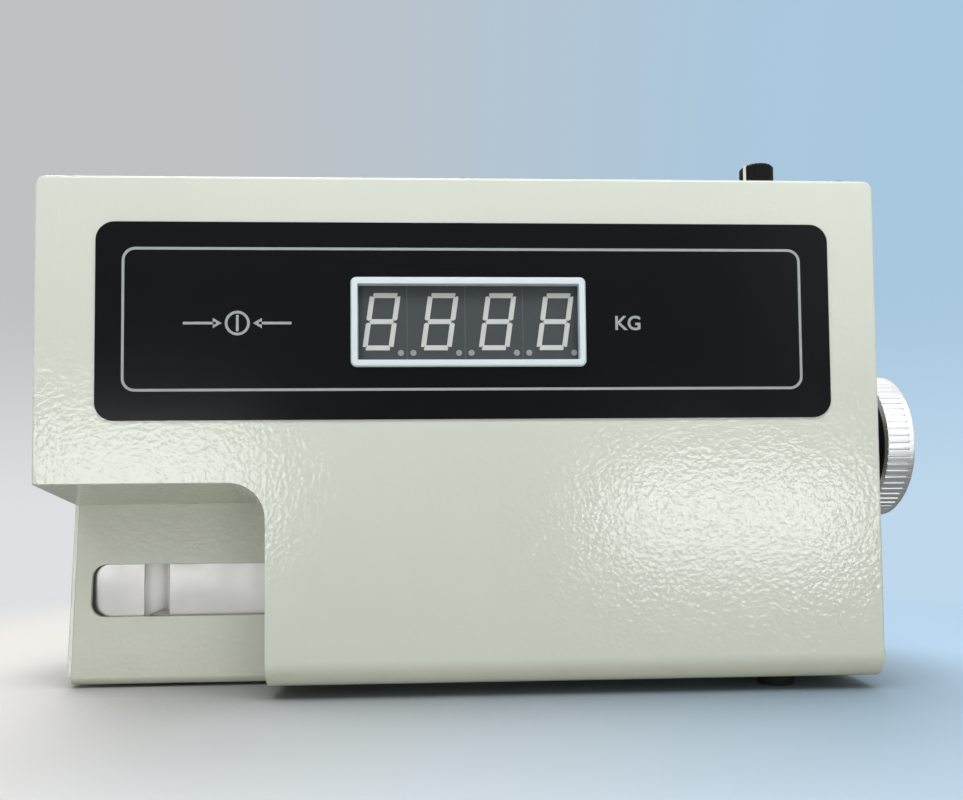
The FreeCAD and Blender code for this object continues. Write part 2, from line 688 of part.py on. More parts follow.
def display_bezel():
    """The pale frame round the digits, with a skirt that passes through the label and the shell."""
    face = LABEL_FACE - BEZEL_PROUD
    frame = centred_plate(BEZEL_WIDTH, BEZEL_HEIGHT, face, LABEL_FACE, BEZEL_X, BEZEL_Z, BEZEL_RADIUS)
    front_edges = [e for e in frame.Edges if e.BoundBox.YMax < face + BEZEL_PROUD / 4]
    frame = frame.makeChamfer(BEZEL_PROUD / 3, front_edges)
    gap = 2 * HOLE_CLEARANCE
    skirt = bezel_block(OPENING_WIDTH - gap, OPENING_HEIGHT - gap, LABEL_FACE, FRONT + SHEET)
    width = BEZEL_WIDTH - 2 * BEZEL_SIDE
    height = BEZEL_HEIGHT - 2 * BEZEL_BAR
    return frame.fuse(skirt).cut(bezel_block(width, height, face - SHEET, FRONT + 2 * SHEET))


def digit_modules():
    """Seven-segment modules side by side behind the bezel."""
    half = (DIGIT_PITCH - DIGIT_SIDE_GAP) / 2
    z0 = DISPLAY_Z - DIGIT_HEIGHT / 2
    modules = []
    for index in range(DIGIT_COUNT):
        x = DISPLAY_X + DIGIT_PITCH * (index - (DIGIT_COUNT - 1) / 2)
        modules.append(box(x - half, x + half, DIGIT_FACE, DIGIT_BACK, z0, z0 + DIGIT_HEIGHT))
    return Part.makeCompound(modules)


def display_board_corners():
    """Places of the display board's standoffs."""
    dx = DISPLAY_BOARD_WIDTH / 2 - STANDOFF_INSET
    dz = DISPLAY_BOARD_HEIGHT / 2 - STANDOFF_INSET
    return [(DISPLAY_X + sx * dx, DISPLAY_Z + sz * dz) for sx in (-1, 1) for sz in (-1, 1)]


def display_board():
    """The circuit board that carries the digits."""
    half = DISPLAY_BOARD_WIDTH / 2
    z0 = DISPLAY_Z - DISPLAY_BOARD_HEIGHT / 2
    return box(
        DISPLAY_X - half, DISPLAY_X + half, DIGIT_BACK, DIGIT_BACK + BOARD_THICKNESS,
        z0, z0 + DISPLAY_BOARD_HEIGHT,
    )


def display_standoffs():
    """Hexagonal pillars between the shell's front and the display board."""
    start = FRONT + SHEET
    pillars = []
    for x, z in display_board_corners():
        pillars.append(hexagon(STANDOFF_AF, DIGIT_BACK - start, V(x, start, z), V(0, 1, 0)))
    return Part.makeCompound(pillars)


# ---- press ------------------------------------------------------------------------------------
def bevelled(shape, size, axis):
    """Bevels the edges of a block that run along an axis."""
    edges = []
    for edge in shape.Edges:
        direction = edge.Vertexes[-1].Point - edge.Vertexes[0].Point
        if direction.cross(axis).Length < size * TOLERANCE:
            edges.append(edge)
    return shape.makeChamfer(size, edges)


def press_frame():
    """The welded frame that ties the anvil to the bearing plate: a long foot with a post at its left end."""
    foot = box(POST_X, PLATE_END, PRESS_Y - FRAME_WIDTH / 2, PRESS_Y + FRAME_WIDTH / 2, FLOOR, FRAME_TOP)
    half = JAW_SIZE / 2
    post = box(POST_X, ANVIL_X, PRESS_Y - half, PRESS_Y + half, FLOOR, PRESS_Z + POST_ABOVE_AXIS)
    return foot.fuse(post).removeSplitter()


def anvil():
    """The fixed jaw: a steel block on the post, with a seat for the tablet rest under it."""
    half = JAW_SIZE / 2
    block = box(ANVIL_X, ANVIL_FACE, PRESS_Y - half, PRESS_Y + half, PRESS_Z - half, PRESS_Z + half)
    block = bevelled(block, JAW_EDGE, V(1, 0, 0))
    seat_x = ANVIL_FACE - REST_SEAT
    y0 = PRESS_Y - REST_WIDTH / 2
    return block.cut(box(seat_x, ANVIL_FACE, y0, y0 + REST_WIDTH, PRESS_Z - JAW_SIZE, REST_TOP))


def tablet_rest():
    """The steel tongue that carries the tablet between the jaws."""
    y0 = PRESS_Y - REST_WIDTH / 2
    z0 = REST_TOP - REST_THICKNESS
    return box(ANVIL_FACE - REST_SEAT, ANVIL_FACE + REST_OVERLAP, y0, y0 + REST_WIDTH, z0, REST_TOP)


def ram_bar():
    """The moving jaw: a square bar, slotted underneath so that it passes over the tablet rest."""
    half = JAW_SIZE / 2
    bar = box(RAM_FACE, CELL_X, PRESS_Y - half, PRESS_Y + half, PRESS_Z - half, PRESS_Z + half)
    bar = bevelled(bar, JAW_EDGE, V(1, 0, 0))
    slot_half = REST_WIDTH / 2 + END_GAP
    slot_end = ANVIL_FACE + REST_OVERLAP + CLOSING_TRAVEL + REST_END_GAP
    y0 = PRESS_Y - slot_half
    return bar.cut(box(RAM_FACE, slot_end, y0, y0 + 2 * slot_half, PRESS_Z - JAW_SIZE, REST_TOP + END_GAP))


def guide_half():
    """Half the side of the square hole that the liner fills."""
    return JAW_SIZE / 2 + GUIDE_CLEARANCE + LINER_WALL


def guide_block_x():
    """Start and end of the guide along the ram."""
    return LEFT + GUIDE_START, LEFT + GUIDE_START + GUIDE_LENGTH


def ram_guide():
    """The block on the frame that guides the ram bar."""
    x0, x1 = guide_block_x()
    half = guide_half()
    y0 = PRESS_Y - GUIDE_WIDTH / 2
    block = box(x0, x1, y0, y0 + GUIDE_WIDTH, FRAME_TOP, PRESS_Z + GUIDE_ABOVE_AXIS)
    return block.cut(box(x0, x1, PRESS_Y - half, PRESS_Y + half, PRESS_Z - half, PRESS_Z + half))


def bearing_plate():
    """The upright that takes the screw's thrust and is bored for both shafts."""
    y0 = PRESS_Y - PLATE_WIDTH / 2
    top = SHAFT_Z + PLATE_ABOVE_SHAFT
    plate = box(PLATE_X, PLATE_END, y0, y0 + PLATE_WIDTH, FRAME_TOP, top)
    corners = []
    for edge in plate.Edges:
        if edge.BoundBox.ZMin > top - SHEET and edge.BoundBox.XLength > PLATE_THICKNESS / 2:
            corners.append(edge)
    plate = plate.makeChamfer(PLATE_CORNER, corners)
    bore = JOURNAL_RADIUS + RUNNING_CLEARANCE
    screw_hole = rod(bore, PLATE_X, PLATE_END, (PRESS_Y, PRESS_Z), "x")
    shaft_hole = rod(bore, PLATE_X, PLATE_END, (PRESS_Y, SHAFT_Z), "x")
    return plate.cut(screw_hole).cut(shaft_hole)


def bronze_bushes():
    """The liner that the ram bar slides in, and the flanged bush of the handwheel shaft."""
    x0, x1 = guide_block_x()
    outer = guide_half()
    liner = box(x0, x1, PRESS_Y - outer, PRESS_Y + outer, PRESS_Z - outer, PRESS_Z + outer)
    half = JAW_SIZE / 2 + GUIDE_CLEARANCE
    liner = liner.cut(box(x0, x1, PRESS_Y - half, PRESS_Y + half, PRESS_Z - half, PRESS_Z + half))
    inner = JOURNAL_RADIUS + RUNNING_CLEARANCE
    axis = (PRESS_Y, SHAFT_Z)
    bush = ring(BUSH_RADIUS, inner, RIGHT - BUSH_LENGTH, RIGHT, axis, "x")
    bush = bush.fuse(ring(BUSH_FLANGE_RADIUS, inner, RIGHT, RIGHT + BUSH_FLANGE, axis, "x"))
    return Part.makeCompound([liner, bush])


def lead_screw():
    """The screw that drives the ram, with a shoulder at the plate and a journal for the gear."""
    shoulder = PLATE_X - RUNNING_CLEARANCE
    axis = (PRESS_Y, PRESS_Z)
    screw = rod(SCREW_RADIUS, SCREW_X, shoulder, axis, "x")
    return screw.fuse(rod(JOURNAL_RADIUS, shoulder, GEAR_END + SHAFT_TAIL, axis, "x")).removeSplitter()


def load_cell():
    """The S-shaped load cell between the ram bar and the sleeve."""
    block = press_block(CELL_WIDTH, CELL_X + CELL_STEM, SLEEVE_X - CELL_STEM)
    slots = []
    slot_x = (CELL_X + SLEEVE_X - CELL_SLOT) / 2
    quarter = CELL_WIDTH / 4
    for side in (-1, 1):
        x0 = slot_x + side * CELL_SLOT
        edge = PRESS_Z + side * CELL_WIDTH / 2
        z0, z1 = sorted((edge, edge - side * CELL_SLOT_REACH))
        slots.append(box(x0, x0 + CELL_SLOT, PRESS_Y - 2 * quarter, PRESS_Y + 2 * quarter, z0, z1))
    block = block.cut(Part.makeCompound(slots))
    left_stem = press_block(CELL_STEM_WIDTH, CELL_X, CELL_X + CELL_STEM)
    return block.fuse([left_stem, press_block(CELL_STEM_WIDTH, SLEEVE_X - CELL_STEM, SLEEVE_X)])


def press_block(width, x0, x1):
    """A square block about the press axis."""
    half = width / 2
    return box(x0, x1, PRESS_Y - half, PRESS_Y + half, PRESS_Z - half, PRESS_Z + half)


def ram_sleeve():
    """The square sleeve that pulls and pushes the ram: closed at the cell, open for the screw and its nut."""
    sleeve = press_block(SLEEVE_WIDTH, SLEEVE_X, SLEEVE_END)
    return sleeve.cut(press_block(SLEEVE_WIDTH - 2 * SLEEVE_WALL, SLEEVE_CAVITY_X, SLEEVE_END))


def travel_nut():
    """The square bronze nut on the lead screw, seated in the end of the sleeve."""
    width = SLEEVE_WIDTH - 2 * SLEEVE_WALL - 2 * NUT_CLEARANCE
    nut = press_block(width, SLEEVE_END - NUT_LENGTH, SLEEVE_END)
    bore = rod(SCREW_RADIUS + RUNNING_CLEARANCE, SLEEVE_X, PLATE_X, (PRESS_Y, PRESS_Z), "x")
    return nut.cut(bore)


# ---- gears ------------------------------------------------------------------------------------
def involute(angle):
    """The involute function."""
    return math.tan(angle) - angle


def gear_outline(teeth, first_tooth):
    """Corners of a spur gear in the YZ plane about the origin; first_tooth is the angle of one tooth."""
    pitch_radius = GEAR_MODULE * teeth / 2
    base_radius = pitch_radius * math.cos(PRESSURE_ANGLE)
    tip = pitch_radius + GEAR_MODULE
    root = pitch_radius - GEAR_DEDENDUM * GEAR_MODULE
    start = max(root, base_radius)
    half_pitch_tooth = (math.pi * GEAR_MODULE / 2 - 2 * TOOTH_SLACK) / 2 / pitch_radius
    flank = []
    for step in range(FLANK_STEPS + 1):
        radius = start + (tip - start) * step / FLANK_STEPS
        pressure = math.acos(base_radius / radius)
        flank.append((radius, half_pitch_tooth + involute(PRESSURE_ANGLE) - involute(pressure)))
    flank[0] = (root, flank[0][1])
    points = []
    for tooth in range(teeth):
        middle = first_tooth + 2 * math.pi * tooth / teeth
        polar = [(radius, middle - half) for radius, half in flank]
        polar += [(radius, middle + half) for radius, half in reversed(flank)]
        points += [V(0, radius * math.cos(angle), radius * math.sin(angle)) for radius, angle in polar]
    return points


def spur_gear(teeth, first_tooth, axis_z):
    """A bored gear beside the bearing plate."""
    points = [p + V(GEAR_X, PRESS_Y, axis_z) for p in gear_outline(teeth, first_tooth)]
    gear = solid_from(points, V(GEAR_WIDTH, 0, 0))
    return gear.cut(rod(JOURNAL_RADIUS, GEAR_X, GEAR_END, (PRESS_Y, axis_z), "x"))


def drive_gear():
    """The gear on the handwheel's shaft, with a tooth pointing straight down."""
    return spur_gear(DRIVE_TEETH, -math.pi / 2, SHAFT_Z)


def screw_gear():
    """The gear on the lead screw, with a gap between teeth pointing straight up."""
    return spur_gear(SCREW_TEETH, math.pi / 2 + math.pi / SCREW_TEETH, PRESS_Z)


# ---- handwheel --------------------------------------------------------------------------------
def shaft_end():
    """End of the shaft inside the handwheel's core."""
    return WHEEL_END - WHEEL_WALL - CORE_INSET


def wheel_shaft():
    """The shaft between the handwheel and the drive gear, with the shoulder that keeps it in the plate."""
    axis = (PRESS_Y, SHAFT_Z)
    shoulder = PLATE_X - END_GAP
    shaft = rod(JOURNAL_RADIUS, shoulder, shaft_end(), axis, "x")
    return shaft.fuse(rod(COLLAR_RADIUS, shoulder - COLLAR_LENGTH, shoulder, axis, "x")).removeSplitter()


def wheel_core():
    """The black moulded core of the handwheel, with the hub that takes the shaft."""
    axis = (PRESS_Y, SHAFT_Z)
    core = rod(WHEEL_RADIUS - WHEEL_WALL, WHEEL_X + CORE_INSET, WHEEL_END - WHEEL_WALL, axis, "x")
    core = core.fuse(rod(HUB_RADIUS, WHEEL_X - HUB_REACH, WHEEL_X + CORE_INSET, axis, "x"))
    return core.cut(rod(JOURNAL_RADIUS, WHEEL_X - HUB_REACH, shaft_end(), axis, "x"))


def wheel_cap():
    """The turned aluminium rim with V flutes all round, bevelled and closed at its outer end."""
    corners = fluted_outline(WHEEL_RADIUS, FLUTE_DEPTH, FLUTE_COUNT, FLUTE_SHARE)
    end_scale = 1 - WHEEL_CHAMFER / WHEEL_RADIUS
    stations = [(WHEEL_X, 1.0), (WHEEL_END - WHEEL_CHAMFER, 1.0), (WHEEL_END, end_scale)]

    def place(along, radius, angle):
        return V(along, PRESS_Y + radius * math.cos(angle), SHAFT_Z + radius * math.sin(angle))

    rim = fluted_body(corners, stations, place)
    axis = (PRESS_Y, SHAFT_Z)
    return rim.cut(rod(WHEEL_RADIUS - WHEEL_WALL, WHEEL_X, WHEEL_END - WHEEL_WALL, axis, "x"))


# ---- zero-adjust knob -------------------------------------------------------------------------
def zero_pot():
    """The potentiometer under the cover, with its bush through the cover and the nut that clamps it."""
    centre = (KNOB_X, KNOB_Y)
    half = POT_WIDTH / 2
    bottom = CEILING - POT_HEIGHT
    body = box(KNOB_X - half, KNOB_X + half, KNOB_Y - half, KNOB_Y + half, bottom, CEILING)
    bush = rod(POT_BUSH_RADIUS, CEILING, TOP + POT_BUSH_HEIGHT, centre, "z")
    nut = hexagon(POT_NUT_AF, POT_NUT_HEIGHT, V(KNOB_X, KNOB_Y, TOP), V(0, 0, 1))
    bore = rod(POT_SHAFT_RADIUS + RUNNING_CLEARANCE, bottom, TOP + POT_BUSH_HEIGHT, centre, "z")
    return body.fuse([bush, nut]).cut(bore)


def knob_base():
    """Height of the knob's lower face."""
    return TOP + POT_BUSH_HEIGHT + KNOB_GAP


def pot_shaft():
    """The shaft that the knob turns."""
    start = CEILING - POT_HEIGHT
    end = knob_base() + KNOB_HEIGHT - KNOB_ROOF
    return rod(POT_SHAFT_RADIUS, start, end, (KNOB_X, KNOB_Y), "z")


def zero_knob():
    """The fluted knob, bevelled at its top."""
    base = knob_base()
    corners = fluted_outline(KNOB_RADIUS, KNOB_FLUTE_DEPTH, KNOB_FLUTES, KNOB_FLUTE_SHARE)
    top = base + KNOB_HEIGHT
    stations = [(base, 1.0), (top - KNOB_CHAMFER, 1.0), (top, 1 - KNOB_CHAMFER / KNOB_RADIUS)]

    def place(along, radius, angle):
        return V(KNOB_X + radius * math.cos(angle), KNOB_Y + radius * math.sin(angle), along)

    knob = fluted_body(corners, stations, place)
    return knob.cut(rod(POT_SHAFT_RADIUS, base, base + KNOB_HEIGHT - KNOB_ROOF, (KNOB_X, KNOB_Y), "z"))


# ---- electronics ------------------------------------------------------------------------------
def main_board():
    """The board that reads the load cell and drives the digits."""
    x0 = MAIN_BOARD_X - MAIN_BOARD_WIDTH / 2
    z0 = MAIN_BOARD_Z - MAIN_BOARD_HEIGHT / 2
    y0 = MAIN_BOARD_Y - BOARD_THICKNESS
    return box(x0, x0 + MAIN_BOARD_WIDTH, y0, MAIN_BOARD_Y, z0, z0 + MAIN_BOARD_HEIGHT)


def board_standoffs():
    """Hexagonal pillars between the shell's back and the main board."""
    dx = MAIN_BOARD_WIDTH / 2 - STANDOFF_INSET
    dz = MAIN_BOARD_HEIGHT / 2 - STANDOFF_INSET
    length = REAR - SHEET - MAIN_BOARD_Y
    pillars = []
    for side_x in (-1, 1):
        for side_z in (-1, 1):
            foot = V(MAIN_BOARD_X + side_x * dx, MAIN_BOARD_Y, MAIN_BOARD_Z + side_z * dz)
            pillars.append(hexagon(STANDOFF_AF, length, foot, V(0, 1, 0)))
    return Part.makeCompound(pillars)


def board_block(shift, lift, width, height, depth):
    """A block on the main board's front face, shifted and lifted from the board's middle."""
    face = MAIN_BOARD_Y - BOARD_THICKNESS
    x = MAIN_BOARD_X + shift
    z = MAIN_BOARD_Z + lift
    return box(x - width / 2, x + width / 2, face - depth, face, z - height / 2, z + height / 2)


def board_parts():
    """Two chips, a relay and a plug header on the main board."""
    parts = [board_block(shift, CHIP_LIFT, CHIP_WIDTH, CHIP_HEIGHT, CHIP_DEPTH) for shift in CHIP_SHIFTS]
    parts.append(board_block(RELAY_SHIFT, CHIP_LIFT, RELAY_SIZE, RELAY_SIZE, RELAY_DEPTH))
    parts.append(board_block(HEADER_SHIFT, -HEADER_DROP, HEADER_WIDTH, HEADER_HEIGHT, HEADER_DEPTH))
    return Part.makeCompound(parts)


def transformer_core():
    """The laminated core on its strap, with two windows for the coil."""
    y0 = TRANSFORMER_Y - CORE_DEPTH / 2
    y1 = TRANSFORMER_Y + CORE_DEPTH / 2
    base = FLOOR + TRANSFORMER_STRAP_THICKNESS
    half = CORE_WIDTH / 2
    core = box(TRANSFORMER_X - half, TRANSFORMER_X + half, y0, y1, base, base + CORE_HEIGHT)
    opening = half - 2 * CORE_LEG
    low = base + CORE_LEG
    high = base + CORE_HEIGHT - CORE_LEG
    for side in (-1, 1):
        middle = TRANSFORMER_X + side * (CORE_LEG + opening / 2)
        core = core.cut(box(middle - opening / 2, middle + opening / 2, y0, y1, low, high))
    reach = half + TRANSFORMER_STRAP
    return core.fuse(box(TRANSFORMER_X - reach, TRANSFORMER_X + reach, y0, y1, FLOOR, base))


def transformer_coil():
    """The coil round the core's middle leg."""
    base = FLOOR + TRANSFORMER_STRAP_THICKNESS + CORE_LEG
    top = base + CORE_HEIGHT - 2 * CORE_LEG
    half = CORE_WIDTH / 2 - CORE_LEG
    y0 = TRANSFORMER_Y - COIL_DEPTH / 2
    coil = box(TRANSFORMER_X - half, TRANSFORMER_X + half, y0, y0 + COIL_DEPTH, base, top)
    leg_x = TRANSFORMER_X - CORE_LEG
    leg_y = TRANSFORMER_Y - CORE_DEPTH / 2
    return coil.cut(box(leg_x, leg_x + 2 * CORE_LEG, leg_y, leg_y + CORE_DEPTH, base, top))


# ---- rear panel -------------------------------------------------------------------------------
def inlet_block(width, height, clearance, y0, y1):
    """The inlet's body or socket, or the hole for it: a block with its two upper corners cut off."""
    half = width / 2 + clearance
    low = INLET_Z - height / 2 - clearance
    high = INLET_Z + height / 2 + clearance
    points = [
        V(INLET_X - half, y0, low),
        V(INLET_X + half, y0, low),
        V(INLET_X + half, y0, high - INLET_BEVEL),
        V(INLET_X + half - INLET_BEVEL, y0, high),
        V(INLET_X - half + INLET_BEVEL, y0, high),
        V(INLET_X - half, y0, high - INLET_BEVEL),
    ]
    return solid_from(points, V(0, y1 - y0, 0))


def mains_inlet():
    """The moulded appliance inlet: a flange outside and a socketed body inside."""
    face = REAR + INLET_FLANGE
    half = INLET_FLANGE_WIDTH / 2
    z0 = INLET_Z - INLET_FLANGE_HEIGHT / 2
    flange = box(INLET_X - half, INLET_X + half, REAR, face, z0, z0 + INLET_FLANGE_HEIGHT)
    flange = bevelled(flange, INLET_CORNER, V(0, 1, 0))
    body = inlet_block(INLET_BODY_WIDTH, INLET_BODY_HEIGHT, 0.0, REAR - INLET_BODY_DEPTH, REAR)
    floor = face - INLET_SOCKET_DEPTH
    socket = inlet_block(INLET_SOCKET_WIDTH, INLET_SOCKET_HEIGHT, 0.0, floor, face + INLET_FLANGE)
    return flange.fuse(body).cut(socket)


def inlet_pins():
    """The three blades in the inlet."""
    floor = REAR + INLET_FLANGE - INLET_SOCKET_DEPTH
    pins = []
    for shift, lift in ((-PIN_PITCH, -PIN_LIFT), (0.0, PIN_LIFT), (PIN_PITCH, -PIN_LIFT)):
        x0 = INLET_X + shift - PIN_THICKNESS / 2
        z0 = INLET_Z + lift - PIN_WIDTH / 2
        pins.append(box(x0, x0 + PIN_THICKNESS, floor, floor + PIN_LENGTH, z0, z0 + PIN_WIDTH))
    return Part.makeCompound(pins)


def switch_block(half_width, half_length, y0, y1):
    """A rectangular block about the switch's middle."""
    return box(
        SWITCH_X - half_width, SWITCH_X + half_width, y0, y1, SWITCH_Z - half_length, SWITCH_Z + half_length
    )


def switch_body(clearance, y0, y1):
    """The switch's body inside the case, or the hole for it."""
    shrink = SWITCH_BODY_WALL - clearance
    return switch_block(SWITCH_WIDTH / 2 - shrink, SWITCH_LENGTH / 2 - shrink, y0, y1)


def switch_pivot_y():
    """Depth of the rocker's pivot."""
    return REAR


def rocker_swing():
    """Largest reach of the rocker from its pivot along its length."""
    return math.hypot(ROCKER_LENGTH / 2, ROCKER_PROUD) + ROCKER_SWING_GAP


def rocker_depth():
    """How far the rocker dips behind its pivot at either end of its swing."""
    tilt = math.radians(ROCKER_TILT)
    return ROCKER_DEPTH * math.cos(tilt) + ROCKER_LENGTH / 2 * math.sin(tilt) + ROCKER_SWING_GAP


def switch_frame():
    """The switch's frame and body, with the well that the rocker swings in."""
    flange = switch_block(SWITCH_WIDTH / 2, SWITCH_LENGTH / 2, REAR, REAR + SWITCH_FLANGE)
    body = switch_body(0.0, REAR - SWITCH_BODY_DEPTH, REAR)
    half = ROCKER_WIDTH / 2 + ROCKER_SIDE_GAP
    well = box(
        SWITCH_X - half, SWITCH_X + half, switch_pivot_y() - rocker_depth(), REAR + 2 * SWITCH_FLANGE,
        SWITCH_Z - rocker_swing(), SWITCH_Z + rocker_swing(),
    )
    return flange.fuse(body).cut(well)


def switch_rocker():
    """The rocker, dished between its two raised ends, with its upper end pressed in."""
    half = ROCKER_LENGTH / 2
    y = switch_pivot_y()
    x = SWITCH_X - ROCKER_WIDTH / 2
    points = [
        V(x, y - ROCKER_DEPTH, SWITCH_Z - half),
        V(x, y - ROCKER_DEPTH, SWITCH_Z + half),
        V(x, y + ROCKER_PROUD, SWITCH_Z + half),
        V(x, y + ROCKER_WAIST, SWITCH_Z),
        V(x, y + ROCKER_PROUD, SWITCH_Z - half),
    ]
    rocker = solid_from(points, V(ROCKER_WIDTH, 0, 0))
    return rocker.rotate(V(SWITCH_X, y, SWITCH_Z), V(1, 0, 0), ROCKER_TILT)


def fuse_holder():
    """The fuse holder's body, with its flange and cap on the outer face."""
    centre = (FUSE_X, FUSE_Z)
    flange_end = REAR + FUSE_FLANGE
    holder = rod(FUSE_RADIUS, REAR - FUSE_DEPTH, REAR, centre, "y")
    holder = holder.fuse(rod(FUSE_FLANGE_RADIUS, REAR, flange_end, centre, "y"))
    return holder.fuse(rod(FUSE_CAP_RADIUS, flange_end, flange_end + FUSE_CAP_PROUD, centre, "y"))


PARTS = [
    main_shell, top_cover, bay_hood, bay_wall, feet, case_screws,
    front_label, display_bezel, digit_modules, display_board, display_standoffs,
    press_frame, anvil, tablet_rest, ram_guide, bearing_plate, bronze_bushes,
    ram_bar, load_cell, ram_sleeve, travel_nut, lead_screw, screw_gear,
    wheel_cap, wheel_core, wheel_shaft, drive_gear,
    zero_pot, pot_shaft, zero_knob,
    main_board, board_standoffs, board_parts, transformer_core, transformer_coil,
    mains_inlet, inlet_pins, switch_frame, switch_rocker, fuse_holder,
]

os.makedirs("parts", exist_ok=True)
for build in PARTS:
    shape = build()
    shape.exportStep("parts/" + build.__name__ + ".step")
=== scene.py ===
"""Looks of a bench tester that crushes tablets: finishes, small fasteners, display, printing and stage."""

import logging
import math
from dataclasses import dataclass, field
from enum import Enum
from typing import Any, Callable

import bmesh
import bpy
from mathutils import Matrix, Vector


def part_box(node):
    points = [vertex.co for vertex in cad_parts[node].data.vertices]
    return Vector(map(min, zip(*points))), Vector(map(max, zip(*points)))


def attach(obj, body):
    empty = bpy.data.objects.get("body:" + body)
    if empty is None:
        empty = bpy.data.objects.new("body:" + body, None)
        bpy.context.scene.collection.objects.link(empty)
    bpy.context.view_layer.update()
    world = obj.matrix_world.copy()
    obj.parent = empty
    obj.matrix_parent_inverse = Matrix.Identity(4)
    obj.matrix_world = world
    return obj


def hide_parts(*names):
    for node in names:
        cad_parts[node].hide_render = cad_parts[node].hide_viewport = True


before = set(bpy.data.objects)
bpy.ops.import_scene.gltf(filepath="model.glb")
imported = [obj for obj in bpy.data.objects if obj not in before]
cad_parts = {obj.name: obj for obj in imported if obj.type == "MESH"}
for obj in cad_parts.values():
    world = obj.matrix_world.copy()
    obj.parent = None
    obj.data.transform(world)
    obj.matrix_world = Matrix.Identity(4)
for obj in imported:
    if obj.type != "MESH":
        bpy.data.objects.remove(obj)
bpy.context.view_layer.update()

LOG = logging.getLogger("tablet_tester")
MM = 0.001
ALONG = 0.99                    # cosine from which a face looks along a direction
LEVEL = 0.05 * MM               # distance within which a face counts as lying at a level
ENDWAYS = 0.9                   # the same, for the two ends of a piece
NEAR = 0.1 * MM                 # points within this of a side lie on it
WELD = 0.001 * MM               # points nearer than this are one point of a copied solid
FLAT_DEGREES = 0.6              # faces of a copied solid that bend less than this are one face
SMOOTH_DEGREES = 40.0           # bends gentler than this are shaded smooth
Colour = tuple[float, float, float, float]
Place = tuple[float, float, float]
Tree = bpy.types.NodeTree
Socket = bpy.types.NodeSocket
Test = Callable[[Any], bool]


class Body(Enum):
    """Rigid bodies that a piece can ride on."""

    CASE = "case"
    HANDWHEEL = "handwheel"
    SCREW = "screw"
    RAM = "ram"
    KNOB = "knob"
    ROCKER = "rocker"


class Axis(Enum):
    """Directions along the row frame."""

    X = (1.0, 0.0, 0.0)
    Y = (0.0, 1.0, 0.0)
    Z = (0.0, 0.0, 1.0)


class Pick(Enum):
    """What is selected in edit mode."""

    VERT = "VERT"
    EDGE = "EDGE"
    FACE = "FACE"


def linear(code: str) -> Colour:
    """Turns an sRGB hex colour into linear values.

    Args:
        code: six hex digits after a hash.

    Returns:
        The colour with full alpha.
    """
    parts = [int(code[i:i + 2], 16) / 255 for i in (1, 3, 5)]
    red, green, blue = (p / 12.92 if p <= 0.04045 else ((p + 0.055) / 1.055) ** 2.4 for p in parts)
    return (red, green, blue, 1.0)


def node(tree: Tree, kind: str, settings: dict[str, Any], inputs: dict[Any, Any]) -> bpy.types.Node:
    """Adds a shader node with its settings, values and links.

    Args:
        tree: the tree that gets the node.
        kind: Blender's name of the node type, without its leading ShaderNode.
        settings: attributes of the node.
        inputs: input name or number, with the value or the socket that it takes.

    Returns:
        The new node.
    """
    made = tree.nodes.new("ShaderNode" + kind)
    for key, value in settings.items():
        setattr(made, key, value)
    for key, value in inputs.items():
        if isinstance(value, Socket):
            tree.links.new(value, made.inputs[key])
        else:
            made.inputs[key].default_value = value
    return made


def noise(tree: Tree, place: Socket, grain_mm: float, **inputs: float) -> bpy.types.Node:
    """Noise with grains of a size in millimetres; the other inputs are the texture's own."""
    return node(tree, "TexNoise", {}, {"Vector": place, "Scale": 1 / (grain_mm * MM), **inputs})


def ramp(tree: Tree, value: Socket, start: float, end: float, low: Any = 0.0, high: Any = 1.0,
         smooth: bool = False) -> Socket:
    """Maps a value from one range to another.

    Args:
        tree: the tree that gets the node.
        value: what is mapped.
        start: where the ramp begins.
        end: where it ends.
        low: result at its start, a number or a socket.
        high: result at its end.
        smooth: whether it eases in and out.

    Returns:
        The mapped value.
    """
    settings = {"interpolation_type": "SMOOTHSTEP"} if smooth else {}
    return node(tree, "MapRange", settings, {0: value, 1: start, 2: end, 3: low, 4: high}).outputs[0]


def mixed(tree: Tree, amount: Socket, first: Any, second: Any) -> Socket:
    """Blends two colours, each a socket or a hex code."""
    ends = [linear(colour) if isinstance(colour, str) else colour for colour in (first, second)]
    return node(tree, "Mix", {"data_type": "RGBA"}, {0: amount, 6: ends[0], 7: ends[1]}).outputs[2]


def streaks(tree: Tree, place: Socket, stretch: Place, grain_mm: float, detail: float) -> Socket:
    """Noise drawn out by a factor along each axis."""
    lane = node(tree, "VectorMath", {"operation": "MULTIPLY"}, {0: place, 1: stretch})
    return noise(tree, lane.outputs[0], grain_mm, Detail=detail).outputs[0]


def emptied(owner: bpy.types.ID) -> Tree:
    """Gives a material or a world an empty node tree."""
    owner.use_nodes = True
    owner.node_tree.nodes.clear()
    return owner.node_tree


